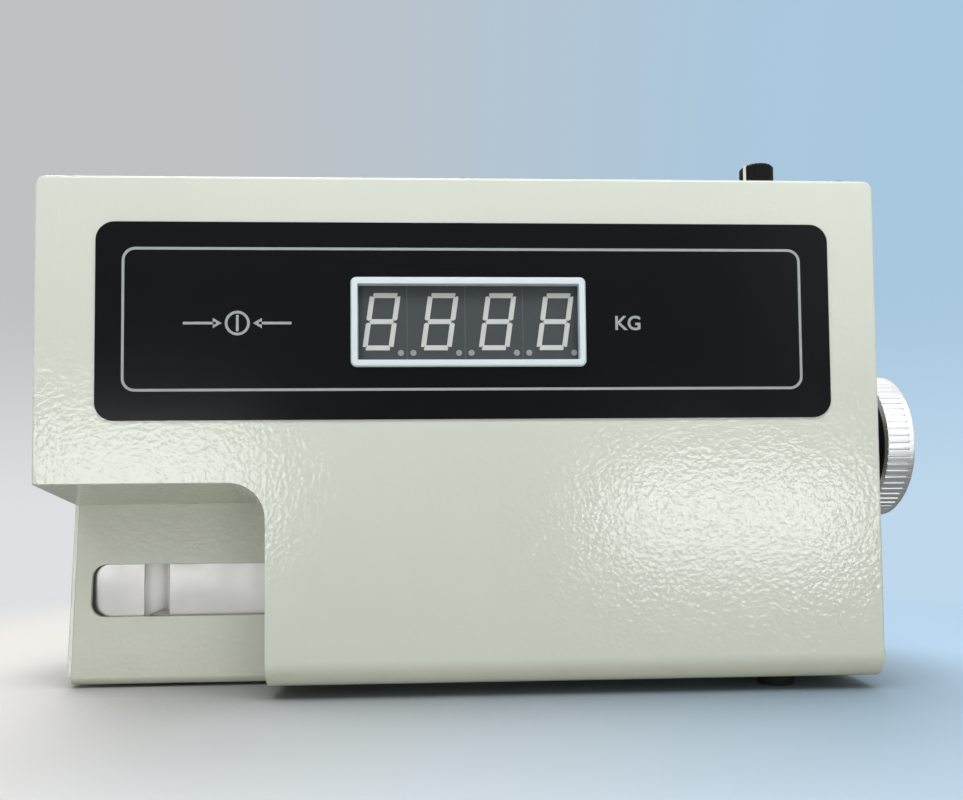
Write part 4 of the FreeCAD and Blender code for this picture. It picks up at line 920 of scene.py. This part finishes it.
    def screw_places(self) -> list[tuple[Place, Place]]:
        """Where the heads sit and which way they look.

        Returns:
            Places and directions for the cover, its ends, the feet, the frame and the inlet.
        """
        low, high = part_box("top_cover")
        inset, setback, tab = (size * MM for size in (self.screw_inset, self.screw_setback, self.tab_setback))
        left, right, up, down, back = (-1, 0, 0), (1, 0, 0), (0, 0, 1), (0, 0, -1), (0, 1, 0)
        places = [((x, y, high.z), up) for x in (low.x + inset, (low.x + high.x) / 2, high.x - inset)
                  for y in (low.y + setback, high.y - setback)]
        z = low.z + self.tab_height * MM
        places += [((high.x, low.y + tab, z), right), ((high.x, high.y - tab, z), right),
                   ((low.x, high.y - tab, z), left)]
        places += [((x, y, self.foot_seat * MM), down) for x, y in self.foot_places()]
        frame_low, frame_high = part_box("press_frame")
        places += [((x * MM, (frame_low.y + frame_high.y) / 2, low.z), down) for x in self.frame_screw_xs]
        inlet_low, inlet_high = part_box("mains_inlet")
        middle = (inlet_low + inlet_high) / 2
        places += [((middle.x + side * self.flange_screw_pitch / 2 * MM, inlet_high.y, middle.z), back)
                   for side in (-1, 1)]
        return places

    def screws(self) -> None:
        """Copies of one screw head, each turned as it happened to end up."""
        head = self.screw.pattern()
        for index, (place, direction) in enumerate(self.screw_places()):
            turn = aimed(Vector(direction)) @ Matrix.Rotation(self.screw_spin * index, 4, "Z")
            piece = head.placed(f"pan_screw_{index + 1:02d}", Matrix.Translation(place) @ turn)
            piece.given(Body.CASE, SCREW_ZINC, "plated_screw", ("case_screws",) if index == 0 else ())
        head.dropped()


@dataclass
class FrontPanel:
    """The black label with its printed line, unit and sign; sizes in millimetres."""

    film_ease: float = 0.15
    line_insets: tuple[float, float, float, float] = (8.85, 9.95, 9.8, 8.8)
    line_width: float = 0.9
    line_corner: float = 4.5
    ink: float = 0.05
    unit: str = "KG"
    unit_height: float = 5.0
    unit_weight: float = 0.018
    unit_from_left: float = 181.0
    unit_above: float = 33.0
    sign_from_left: float = 47.5
    tablet_radius: float = 4.2
    score_inset: float = 1.4
    arrow_length: float = 11.0
    arrow_gap: float = 3.0
    point_radius: float = 2.0
    bar_corner: float = 0.25

    def build(self) -> None:
        """Dresses the label and prints on it."""
        ease_nodes(("front_label",), Body.CASE, LABEL_FILM, "label_black", self.film_ease)
        low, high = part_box("front_label")
        self.line(low, high)
        middle = (low.x + self.unit_from_left * MM, low.y - self.ink / 2 * MM, low.z + self.unit_above * MM)
        unit = Piece.lettered("unit_letters", self.unit, self.unit_height * MM, middle, self.unit_weight,
                              self.ink * MM)
        unit.given(Body.CASE, SCREEN_INK)
        self.sign(Vector((low.x + self.sign_from_left * MM, low.y, low.z + self.unit_above * MM)))

    def line(self, low: Vector, high: Vector) -> None:
        """A thin line round the label with rounded corners.

        Args:
            low: lowest corner of the label, in metres.
            high: highest corner.
        """
        left, right, bottom, top = (v * MM for v in self.line_insets)
        ink = self.ink * MM
        ring = Piece.block("printed_line", (low.x + left, low.y - ink, low.z + bottom),
                           (high.x - right, low.y + ink, high.z - top))
        ring.edit(Pick.EDGE, spanning(Axis.Y, ink)).beveled(self.line_corner, 8)
        ring.select(Pick.FACE, both_ends(Axis.Y)).ringed(self.line_width)
        ring.leave().given(Body.CASE, SCREEN_INK)

    def sign(self, middle: Vector) -> None:
        """A tablet between two arrows that press on it.

        Args:
            middle: middle of the tablet, in metres.
        """
        ink, half = 2 * self.ink * MM, self.line_width / 2 * MM
        tablet = Piece.drum("printed_sign", self.tablet_radius * MM, ink, middle, 48, Axis.Y)
        tablet.edit(Pick.FACE, both_ends(Axis.Y)).ringed(self.line_width).leave()
        parts = [self.bar(middle, (-half, half), (self.tablet_radius - self.score_inset) * MM)]
        for side in (-1, 1):
            tip = side * (self.tablet_radius + self.arrow_gap) * MM
            parts.append(self.bar(middle, sorted((tip, tip + side * self.arrow_length * MM)), half))
            place = middle + Vector((tip, 0, 0))
            point = Piece.drum("point", self.point_radius * MM, ink, place, 3, Axis.Y)
            point.edit(Pick.VERT, anything)
            bpy.ops.transform.rotate(value=side * math.pi / 2, orient_axis="Y", center_override=place)
            parts.append(point.leave())
        tablet.joined(parts).given(Body.CASE, SCREEN_INK)

    def bar(self, middle: Vector, span: tuple[float, float], half: float) -> Piece:
        """A printed bar with rounded corners.

        Args:
            middle: middle of the sign.
            span: where the bar starts and ends, across from there.
            half: half its height, in metres.

        Returns:
            The bar.
        """
        ink = self.ink * MM
        low, high = middle + Vector((span[0], -ink, -half)), middle + Vector((span[1], ink, half))
        piece = Piece.block("bar", low, high)
        return piece.edit(Pick.EDGE, spanning(Axis.Y, ink)).beveled(self.bar_corner, 3).leave()


@dataclass
class Display:
    """The bezel and four seven-segment modules; sizes in millimetres."""

    count: int = 4
    pitch: float = 20.0
    digit_height: float = 19.9
    digit_width: float = 10.6
    stroke: float = 1.73
    gap: float = 0.28
    mitre: float = 0.45
    slant: float = 8.1
    shift: float = 1.27
    lift: float = 0.05
    proud: float = 0.15
    segment_ease: float = 0.1
    point_radius: float = 1.05
    point_inset: float = 2.15
    point_drop: float = 10.8
    joint_width: float = 0.35
    joint_margins: tuple[float, float] = (0.6, 0.9)
    joint_levels: tuple[float, float] = (-0.03, 0.5)

    def build(self) -> None:
        """Dresses the bezel and the modules and sets the segments in their faces."""
        ease_nodes(("display_bezel",), Body.CASE, BEZEL_ABS, "bezel_white", 0.15)
        ease_nodes(("digit_modules",), Body.CASE, DIGIT_FACE, "digit_grey", 0.2)
        low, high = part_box("digit_modules")
        centre = (low + high) / 2
        stroke = self.segment()
        for index in range(self.count):
            x = centre.x + self.pitch * (index - (self.count - 1) / 2) * MM
            self.digit(stroke, index, Vector((x, low.y, centre.z)))
            self.points(index, Vector((x, low.y, centre.z)))
        stroke.dropped()
        self.joints(low, high)

    def segment(self) -> Piece:
        """One segment along X with pointed ends, as wide as a stroke, to be drawn out to its length.

        Returns:
            The pattern, to be copied.
        """
        radius = self.stroke / 2 / math.sin(math.pi / 3) * MM
        bar = Piece.drum("segment_pattern", radius, 2 * self.proud * MM, (0, 0, 0), 6, Axis.Y)
        bar.edit(Pick.VERT, anything)
        bpy.ops.transform.rotate(value=math.pi / 2, orient_axis="Y", center_override=(0, 0, 0))
        return bar.leave()

    def digit(self, stroke: Piece, index: int, middle: Vector) -> None:
        """Seven segments, leaning to the right.

        Args:
            stroke: the pattern of one segment.
            index: which digit, from 0.
            middle: middle of the module's face.
        """
        half_width, half_height = (self.digit_width - self.stroke) / 2, (self.digit_height - self.stroke) / 2
        across, upright = 2 * (half_width - self.gap), half_height - 2 * self.gap
        bars = [(0.0, z, across, False) for z in (-half_height, 0.0, half_height)]
        bars += [(x, z, upright, True) for x in (-half_width, half_width)
                 for z in (-half_height / 2, half_height / 2)]
        parts = []
        for x, z, length, standing in bars:
            piece = stroke.placed(f"digit_{index + 1}", Matrix.Identity(4))
            stretch = length / 2 - piece.corners()[1].x / MM
            piece.edit(Pick.VERT, lambda item: item.co.x > 0).moved(stretch)
            piece.select(Pick.VERT, lambda item: item.co.x < 0).moved(-stretch)
            self.mitred(piece, x, z, standing)
            turn = Matrix.Rotation(math.pi / 2 if standing else 0.0, 4, "Y")
            parts.append(piece.leave().shifted(Matrix.Translation((x * MM, 0, z * MM)) @ turn))
        lean = Matrix.Identity(4)
        lean[0][2] = math.tan(math.radians(self.slant))
        place = Matrix.Translation(middle + Vector((self.shift * MM, 0, self.lift * MM)))
        whole = parts[0].joined(parts[1:]).shifted(place @ lean)
        whole.eased(self.segment_ease, 2, 50.0).given(Body.CASE, SEGMENT_EPOXY)

    def mitred(self, piece: Piece, x: float, z: float, standing: bool) -> None:
        """Draws the outer side of an outer segment out towards the digit's corners.

        Args:
            piece: the segment, lying along X in edit mode.
            x: where it will stand across the digit.
            z: where it will stand up the digit; the middle one keeps its points.
            standing: whether it will be turned upright.
        """
        if not standing and z == 0.0:
            return
        up, right = 1 if z > 0 else -1, -1 if x < 0 else 1
        outward = right if standing else up
        for end in ((-up,) if standing else (-1, 1)):
            piece.select(Pick.VERT, lambda item: item.co.z * outward > self.stroke / 4 * MM
                         and item.co.x * end > 0).moved(end * self.mitre)

    def joints(self, low: Vector, high: Vector) -> None:
        """Pale joints where two modules meet.

        Args:
            low: lowest corner of the modules, in metres.
            high: highest corner.
        """
        below, above = self.joint_margins
        front, back = self.joint_levels
        half = self.joint_width / 2 * MM
        for index in range(self.count - 1):
            x = (low.x + high.x) / 2 + self.pitch * (index + 1 - self.count / 2) * MM
            strip = Piece.block(f"module_joint_{index + 1}",
                                (x - half, low.y + front * MM, low.z + below * MM),
                                (x + half, low.y + back * MM, high.z - above * MM))
            strip.eased(0.02, 1).given(Body.CASE, JOINT_EPOXY)

    def points(self, index: int, middle: Vector) -> None:
        """The decimal points in the lower corners.

        Args:
            index: which digit, from 0.
            middle: middle of the module's face.
        """
        half = self.pitch / 2 - self.point_inset
        dots = [Piece.drum(f"point_{index + 1}", self.point_radius * MM, 2 * self.proud * MM,
                           middle + Vector((side * half, 0, -self.point_drop)) * MM, 24, Axis.Y)
                for side in (-1, 1)]
        # The points take the epoxy darkened as painted shade.
        dots[0].joined(dots[1:]).eased(self.segment_ease, 2, 50.0).given(Body.CASE, POINT_EPOXY_WITH_PAINTED_SHADE)


@dataclass
class Handwheel:
    """The fluted aluminium wheel on its black core; sizes in millimetres."""

    sides: int = 144
    flute_ease: float = 0.06
    flute_angle: float = 25.0
    chamfer: float = 1.3
    chamfer_reach: float = 1.9
    blank_over: float = 1.0
    rim_width: float = 2.6
    rim_wall: float = 3.0
    rim_inside: float = 0.03
    rim_setback: float = 0.02
    dish_inset: float = 4.3
    dish_depth: float = 0.8
    dish_taper: float = 0.96
    hub_radius: float = 4.0
    hub_ring: float = 1.4
    hub_hollow: float = 0.3

    def build(self) -> None:
        """Chamfers and dishes the wheel, and dresses core, shaft and gears."""
        cap = Piece.copied("wheel_cap")
        low, high = cap.corners()
        cap.kept_in(self.blank(low, high)).cut_by(self.dish(low, high))
        cap.eased(self.flute_ease, 1, self.flute_angle)
        cap.given(Body.HANDWHEEL, WHEEL_ALUMINIUM, "turned_aluminium", ("wheel_cap",))
        self.rim(low, high)
        ease_nodes(("wheel_core",), Body.HANDWHEEL, CORE_BLACK, "black_plastic", 0.3)
        ease_nodes(("wheel_shaft", "drive_gear"), Body.HANDWHEEL, DRIVE_STEEL, "machined_steel", 0.15, 1)
        ease_nodes(("lead_screw", "screw_gear"), Body.SCREW, DRIVE_STEEL, "machined_steel", 0.15, 1)

    def rim(self, low: Vector, high: Vector) -> None:
        """The plain chamfered band in which the flutes end, and the hub's ring in the dish.

        Args:
            low: lowest corner of the wheel, in metres.
            high: highest corner.
        """
        width = self.rim_width * MM
        _, y, z = (low + high) / 2
        radius = (high.z - low.z) / 2 - self.rim_inside * MM
        place = (high.x - width / 2 - self.rim_setback * MM, y, z)
        band = Piece.drum("wheel_rim", radius, width, place, self.sides, Axis.X)
        band.edit(Pick.FACE, both_ends(Axis.X)).ringed(self.rim_wall).leave().kept_in(self.blank(low, high))
        place = (high.x - self.dish_depth * MM, y, z)
        hub = Piece.drum("wheel_hub", self.hub_radius * MM, MM, place, 48, Axis.X)
        hub.edit(Pick.FACE, looking(Axis.X.value)).inset(self.hub_ring).moved(-self.hub_hollow).leave()
        band.joined([hub]).eased(self.flute_ease, 2, self.flute_angle)
        band.given(Body.HANDWHEEL, WHEEL_ALUMINIUM, "turned_aluminium")

    def dish(self, low: Vector, high: Vector) -> Piece:
        """What the lathe takes out of the outer face: a shallow dish with a sloping wall.

        Args:
            low: lowest corner of the wheel, in metres.
            high: highest corner.

        Returns:
            The tool that cuts it.
        """
        middle = (high.x, (low.y + high.y) / 2, (low.z + high.z) / 2)
        radius = (high.z - low.z) / 2 - self.dish_inset * MM
        path = Piece.drum("dish_path", radius, 2 * self.dish_depth * MM, middle, 96, Axis.X)
        path.edit(Pick.FACE, looking((-1, 0, 0)))
        bpy.ops.transform.resize(value=(1, self.dish_taper, self.dish_taper), center_override=middle)
        return path.leave()

    def blank(self, low: Vector, high: Vector) -> Piece:
        """The turned blank of the wheel: a drum whose outer edge is chamfered across the flutes.

        Args:
            low: lowest corner of the wheel, in metres.
            high: highest corner.

        Returns:
            The blank.
        """
        radius = (high.z - low.z) / 2 + self.blank_over * MM
        middle = (low + high) / 2
        blank = Piece.drum("wheel_blank", radius, high.x - low.x + 2 * MM, middle, self.sides, Axis.X)
        reach = self.chamfer_reach + 1.0
        fall = self.chamfer * reach / self.chamfer_reach + self.blank_over
        share = 1 - fall * MM / radius
        blank.edit(Pick.FACE, looking(Axis.X.value)).moved(-reach)
        bpy.ops.mesh.extrude_region_move(TRANSFORM_OT_translate={"value": (reach * MM, 0, 0)})
        bpy.ops.transform.resize(value=(1, share, share), center_override=middle)
        return blank.leave()


@dataclass
class ZeroKnob:
    """The black knob with its white line; sizes in millimetres."""

    line_width: float = 1.3
    line_turn: float = -152.0
    line_proud: float = 0.08
    line_start: float = 0.35
    line_above: float = 0.4
    line_round: float = 1.0

    def build(self) -> None:
        """Dresses the knob and lays the line down its side and across its top."""
        ease_nodes(("zero_knob",), Body.KNOB, KNOB_PHENOLIC, "black_plastic", 0.3)
        ease_nodes(("pot_shaft",), Body.KNOB, DRIVE_STEEL, "machined_steel", 0.15, 1)
        ease_nodes(("zero_pot",), Body.CASE, SCREW_ZINC, "machined_steel", 0.15, 1)
        low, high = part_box("zero_knob")
        radius, half = (high.x - low.x) / 2, self.line_width / 2 * MM
        line = Piece.block("knob_line", (radius * self.line_start, -half, low.z + self.line_above * MM),
                           (radius + self.line_proud * MM, half, high.z))
        line.edit(Pick.EDGE, lambda edge: all(v.co.x > radius * 0.9 and v.co.z > high.z - NEAR
                                              for v in edge.verts)).beveled(self.line_round, 2).leave()
        centre = Matrix.Translation(((low.x + high.x) / 2, (low.y + high.y) / 2, 0))
        turn = Matrix.Rotation(math.radians(self.line_turn), 4, "Z")
        line.shifted(centre @ turn).given(Body.KNOB, POINTER_PAINT)


@dataclass
class Press:
    """Jaws, ram, frame and drive inside the case; sizes in millimetres."""

    jaw_ease: float = 0.2
    anvil_reach: float = 3.0
    anvil_advance: float = 2.4
    guard_thickness: float = 1.0
    guard_overlap: float = 8.0
    guard_travel: float = 27.0
    guard_clearance: float = 0.15

    def build(self) -> None:
        """Dresses the two jaws, the drive and the frame that ties them."""
        self.anvil()
        self.guard()
        ease_nodes(("tablet_rest",), Body.CASE, JAW_STEEL, "polished_steel", self.jaw_ease)
        ease_nodes(("ram_bar",), Body.RAM, JAW_STEEL, "polished_steel", self.jaw_ease)
        ease_nodes(("load_cell", "ram_sleeve"), Body.RAM, DRIVE_STEEL, "machined_steel", self.jaw_ease, 1)
        ease_nodes(("travel_nut",), Body.RAM, BUSH_BRONZE, "bronze", self.jaw_ease, 1)
        welded = ("press_frame", "ram_guide", "bearing_plate")
        ease_nodes(welded, Body.CASE, FRAME_PRIMER, "welded_frame", 0.5)
        ease_nodes(("bronze_bushes",), Body.CASE, BUSH_BRONZE, "bronze", self.jaw_ease, 1)

    def anvil(self) -> None:
        """The fixed jaw, which reaches to the window's end and near to its back; its working face is dull."""
        anvil = Piece.copied("anvil")
        low, _ = anvil.corners()
        anvil.edit(Pick.VERT, lambda item: item.co.x < low.x + NEAR).moved(-self.anvil_reach)
        anvil.select(Pick.VERT, lambda item: item.co.y < low.y + NEAR).moved(0, -self.anvil_advance)
        anvil.leave().eased(self.jaw_ease).given(Body.CASE, JAW_STEEL, "polished_steel", ("anvil",))
        anvil.obj.data.materials.append(JAW_FACE.material())
        anvil.edit(Pick.FACE, flat_on(Axis.X.value, anvil.corners()[1].x))
        bpy.context.object.active_material_index = 1
        bpy.ops.object.material_slot_assign()
        anvil.leave()

    def guard(self) -> None:
        """The pale sheet behind the gap that keeps crumbs out of the case, bent back at its top."""
        anvil_low, anvil_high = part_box("anvil")
        ram_low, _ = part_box("ram_bar")
        thick = self.guard_thickness * MM
        back = anvil_high.y + self.guard_clearance * MM
        sheet = Piece.block("crumb_guard", (anvil_high.x - self.guard_overlap * MM, back, anvil_low.z),
                            (ram_low.x + self.guard_travel * MM, back + thick, anvil_high.z))
        sheet.edit(Pick.FACE, flat_on(Axis.Y.value, back + thick)).inset(self.guard_thickness)
        sheet.select(Pick.FACE, flat_on(Axis.Z.value, anvil_high.z))
        bpy.ops.mesh.extrude_region_move(TRANSFORM_OT_translate={"value": (0, thick, MM)})
        sheet.leave().eased(0.15).given(Body.CASE, GUARD_ENAMEL)


@dataclass
class RearFittings:
    """Inlet, switch and fuse holder on the back; sizes in millimetres."""

    fuse_slot: float = 1.4
    fuse_slot_depth: float = 1.2
    fuse_reach: float = 8.0
    mark_height: float = 2.6
    mark_width: float = 0.6
    ring_width: float = 0.5
    ink: float = 0.06

    def build(self) -> None:
        """Dresses the fittings, cuts the fuse cap's slot and prints the switch's marks."""
        ease_nodes(("mains_inlet", "switch_frame"), Body.CASE, BLACK_PHENOLIC, "black_plastic", 0.4)
        ease_nodes(("inlet_pins",), Body.CASE, PIN_NICKEL, "pin_nickel", 0.3)
        fuse = Piece.copied("fuse_holder")
        low, high = fuse.corners()
        x, _, z = (low + high) / 2
        half, reach = self.fuse_slot / 2 * MM, self.fuse_reach * MM
        slot = Piece.block("fuse_slot", (x - reach, high.y - self.fuse_slot_depth * MM, z - half),
                           (x + reach, high.y + MM, z + half))
        fuse.cut_by(slot).eased(0.25).given(Body.CASE, BLACK_PHENOLIC, "black_plastic", ("fuse_holder",))
        self.rocker()

    def rocker(self) -> None:
        """The rocker with a bar for on and a ring for off, on its two sloping halves."""
        rocker = Piece.copied("switch_rocker")
        halves = sorted((f for f in rocker.obj.data.polygons if f.normal.y > 0.7), key=lambda f: f.center.z)
        lower, upper = (Matrix.Translation(half.center) @ aimed(half.normal)
                        for half in (halves[0], halves[-1]))
        rocker.eased(0.4, 3).given(Body.ROCKER, BLACK_PHENOLIC, "black_plastic", ("switch_rocker",))
        corner = Vector((self.mark_width, self.mark_height, self.ink)) / 2 * MM
        bar = Piece.block("mark_on", -corner, corner)
        bar.edit(Pick.EDGE, spanning(Axis.Z, LEVEL)).beveled(0.15, 2).leave()
        bar.shifted(lower).given(Body.ROCKER, POINTER_PAINT)
        ring = Piece.drum("mark_off", self.mark_height / 2 * MM, self.ink * MM, (0, 0, 0), 32)
        ring.edit(Pick.FACE, both_ends(Axis.Z)).ringed(self.ring_width).leave()
        ring.shifted(upper).given(Body.ROCKER, POINTER_PAINT)


@dataclass
class Electronics:
    """Boards, their parts and the transformer inside the case."""

    def build(self) -> None:
        """Dresses the hidden pieces where they stand."""
        ease_nodes(("main_board", "display_board"), Body.CASE, BOARD_LAMINATE, "circuit_board", 0.1, 1)
        ease_nodes(("board_parts",), Body.CASE, CHIP_EPOXY, "component_black", 0.25)
        pillars = ("display_standoffs", "board_standoffs")
        ease_nodes(pillars, Body.CASE, PILLAR_BRASS, "standoff_brass", 0.2, 1)
        ease_nodes(("transformer_core",), Body.CASE, CORE_SHEETS, "core_iron", 0.2, 1)
        ease_nodes(("transformer_coil",), Body.CASE, COIL_TAPE, "coil_tape", 1.0, 3)


# ---- the stage ----------------------------------------------------------------------------------
@dataclass
class Panel:
    """A soft lamp: a lit rectangle aimed at a point; metres and watts."""

    name: str
    place: Place
    aim: Place
    size: tuple[float, float]
    power: float

    def build(self) -> None:
        """Hangs the lamp."""
        data = bpy.data.lights.new(self.name, "AREA")
        data.shape = "RECTANGLE"
        data.size, data.size_y = self.size
        data.energy = self.power
        lamp = bpy.data.objects.new(self.name, data)
        bpy.context.scene.collection.objects.link(lamp)
        lamp.location = self.place
        lamp.rotation_euler = (Vector(self.aim) - Vector(self.place)).to_track_quat("-Z", "Y").to_euler()


@dataclass
class Stage:
    """Pale floor, soft room, lamps and camera; metres, degrees and watts.

    The gap's lamp is a small glow that faces the fixed jaw, where no studio lamp reaches.
    """

    camera_place: Place = (-0.019155, -0.34698, 0.06809)
    turn_degrees: Place = (-2.60, -2.38, -0.54)
    lens: float = 32.291
    shift: tuple[float, float] = (-0.00103, 0.0642)
    warm: str = "#dfe1e4"
    cool: str = "#bfd8ec"
    floor_size: float = 8.0
    floor_turn: float = 0.22
    near_edge: tuple[float, float] = (0.24, 0.40)
    shadow_reach: float = 0.07
    shadow_depth: float = 0.3
    room_turn: tuple[float, float] = (-0.35, 0.5)
    room_rise: tuple[float, float] = (-0.04, 0.22)
    room_strength: float = 0.2
    panels: tuple[Panel, ...] = (
        Panel("key_panel", (-0.01, -0.27, 0.43), (-0.02, -0.05, 0.12), (0.85, 0.16), 1.55),
        Panel("fill_panel", (0.55, -0.75, 0.45), (-0.05, 0.0, 0.06), (0.4, 0.4), 0.45),
        Panel("top_panel", (-0.1, 0.5, 1.0), (0.0, 0.1, 0.0), (1.2, 0.5), 9.5),
        Panel("right_glint", (0.28, -0.641, 0.045), (0.10, -0.05, 0.05), (0.26, 0.10), 0.6),
        Panel("left_glint", (-0.326, -0.640, 0.085), (-0.11, -0.05, 0.07), (0.24, 0.13), 0.62),
        Panel("gap_glow", (-0.1234, -0.002, 0.0355), (-1.1234, -0.002, 0.0355), (0.019, 0.021), 0.0015),
    )

    def build(self) -> None:
        """Sets up the camera, the lamps, the floor and the room."""
        self.camera()
        for panel in self.panels:
            panel.build()
        self.floor()
        self.room()
        bpy.context.scene.view_settings.view_transform = "Standard"

    def camera(self) -> None:
        """A camera a little below the middle of the case, close in front of it."""
        yaw, pitch, roll = (math.radians(v) for v in self.turn_degrees)
        view = Matrix.Rotation(roll, 3, "Z") @ Matrix.Rotation(pitch, 3, "X") @ Matrix.Rotation(yaw, 3, "Y")
        view = view @ Matrix(((1, 0, 0), (0, 0, -1), (0, 1, 0)))
        data = bpy.data.cameras.new("camera")
        data.lens = self.lens
        data.shift_x, data.shift_y = self.shift
        data.clip_start = 0.01
        eye = bpy.data.objects.new("camera", data)
        bpy.context.scene.collection.objects.link(eye)
        turn = Matrix((view[0], -view[1], -view[2])).transposed()
        eye.matrix_world = Matrix.Translation(self.camera_place) @ turn.to_4x4()
        bpy.context.scene.camera = eye

    def floor(self) -> None:
        """A wide pale floor whose far part melts into the room, with a painted shadow close under the case.
        """
        Piece.settle()
        bpy.ops.mesh.primitive_plane_add(size=self.floor_size, location=(0, 0, 0))
        floor = Piece("floor", bpy.context.object).baked()
        made = bpy.data.materials.new("pale_paper_floor")
        tree = emptied(made)
        place = node(tree, "TexCoord", {}, {}).outputs["Object"]
        across = node(tree, "SeparateXYZ", {}, {0: place}).outputs[0]
        side = ramp(tree, across, -self.floor_turn, self.floor_turn, smooth=True)
        reach = node(tree, "VectorMath", {"operation": "LENGTH"}, {0: place}).outputs["Value"]
        far = ramp(tree, reach, *self.near_edge, smooth=True)
        ray = node(tree, "LightPath", {}, {}).outputs
        # Ambient occlusion darkens the floor's colour towards #101418 close to the case: a painted contact
        # shadow.
        near = node(tree, "AmbientOcclusion", {"samples": 8}, {"Distance": self.shadow_reach}).outputs["AO"]
        openness = ramp(tree, near, 0.25, 0.95, self.shadow_depth)
        shaded = mixed(tree, openness, "#101418", mixed(tree, side, "#f1ede9", "#b6d6f0"))
        # Off-camera rays see a neutral floor; glossy rays see it darker, a painted shade in what the metal
        # mirrors.
        bounce_with_painted_dim_reflection = mixed(tree, ray["Is Glossy Ray"], "#b4b5ab", "#74787a")
        matt = node(tree, "BsdfPrincipled", {}, {
            "Base Color": mixed(tree, ray["Is Camera Ray"], bounce_with_painted_dim_reflection, shaded), "Roughness": 0.55,
            "Specular IOR Level": 0.2})
        glow = node(tree, "Emission", {}, {"Color": mixed(tree, side, self.warm, self.cool), "Strength": 1.0})
        share = node(tree, "Math", {"operation": "MULTIPLY"}, {0: far, 1: ray["Is Camera Ray"]})
        both = node(tree, "MixShader", {}, {0: share.outputs[0], 1: matt.outputs[0], 2: glow.outputs[0]})
        node(tree, "OutputMaterial", {}, {"Surface": both.outputs[0]})
        floor.obj.data.materials.append(made)

    def room(self) -> None:
        """The room's soft light; seen directly it is a pale gradient, and in a mirror a grey one."""
        world = bpy.data.worlds.new("studio_room")
        bpy.context.scene.world = world
        tree = emptied(world)
        way = node(tree, "TexCoord", {}, {}).outputs["Generated"]
        across, ahead, up = node(tree, "SeparateXYZ", {}, {0: way}).outputs
        side = ramp(tree, across, *self.room_turn, smooth=True)
        height = ramp(tree, up, *self.room_rise, smooth=True)
        low, high = mixed(tree, side, self.warm, self.cool), mixed(tree, side, "#bfc1c3", "#a8c8e0")
        seen = mixed(tree, height, low, high)
        front = ramp(tree, ahead, -0.7, 0.2, ramp(tree, up, -0.3, 0.75, 0.35, 1.35), 1.05)
        ray = node(tree, "LightPath", {}, {}).outputs
        mirrored = node(tree, "Math", {"operation": "MAXIMUM"},
                        {0: ray["Is Glossy Ray"], 1: ray["Is Transmission Ray"]}).outputs[0]
        pale, dim, soft = (node(tree, "Background", {}, {"Color": colour, "Strength": strength}).outputs[0]
                           for colour, strength in ((seen, 1.0), (linear("#e6e6e6"), front),
                                                    (linear("#f4f6f8"), self.room_strength)))
        first = node(tree, "MixShader", {}, {0: mirrored, 1: soft, 2: dim}).outputs[0]
        second = node(tree, "MixShader", {}, {0: ray["Is Camera Ray"], 1: first, 2: pale}).outputs[0]
        node(tree, "OutputWorld", {}, {"Surface": second})


def main() -> None:
    """Builds the tester's pieces and the stage round it."""
    logging.basicConfig(level=logging.INFO, format="%(message)s")
    for assembly in (Casing(), FrontPanel(), Display(), Handwheel(), ZeroKnob(), Press(), RearFittings(),
                     Electronics(), Stage()):
        assembly.build()
        LOG.info("%s done", type(assembly).__name__)


if __name__ == "__main__":
    main()
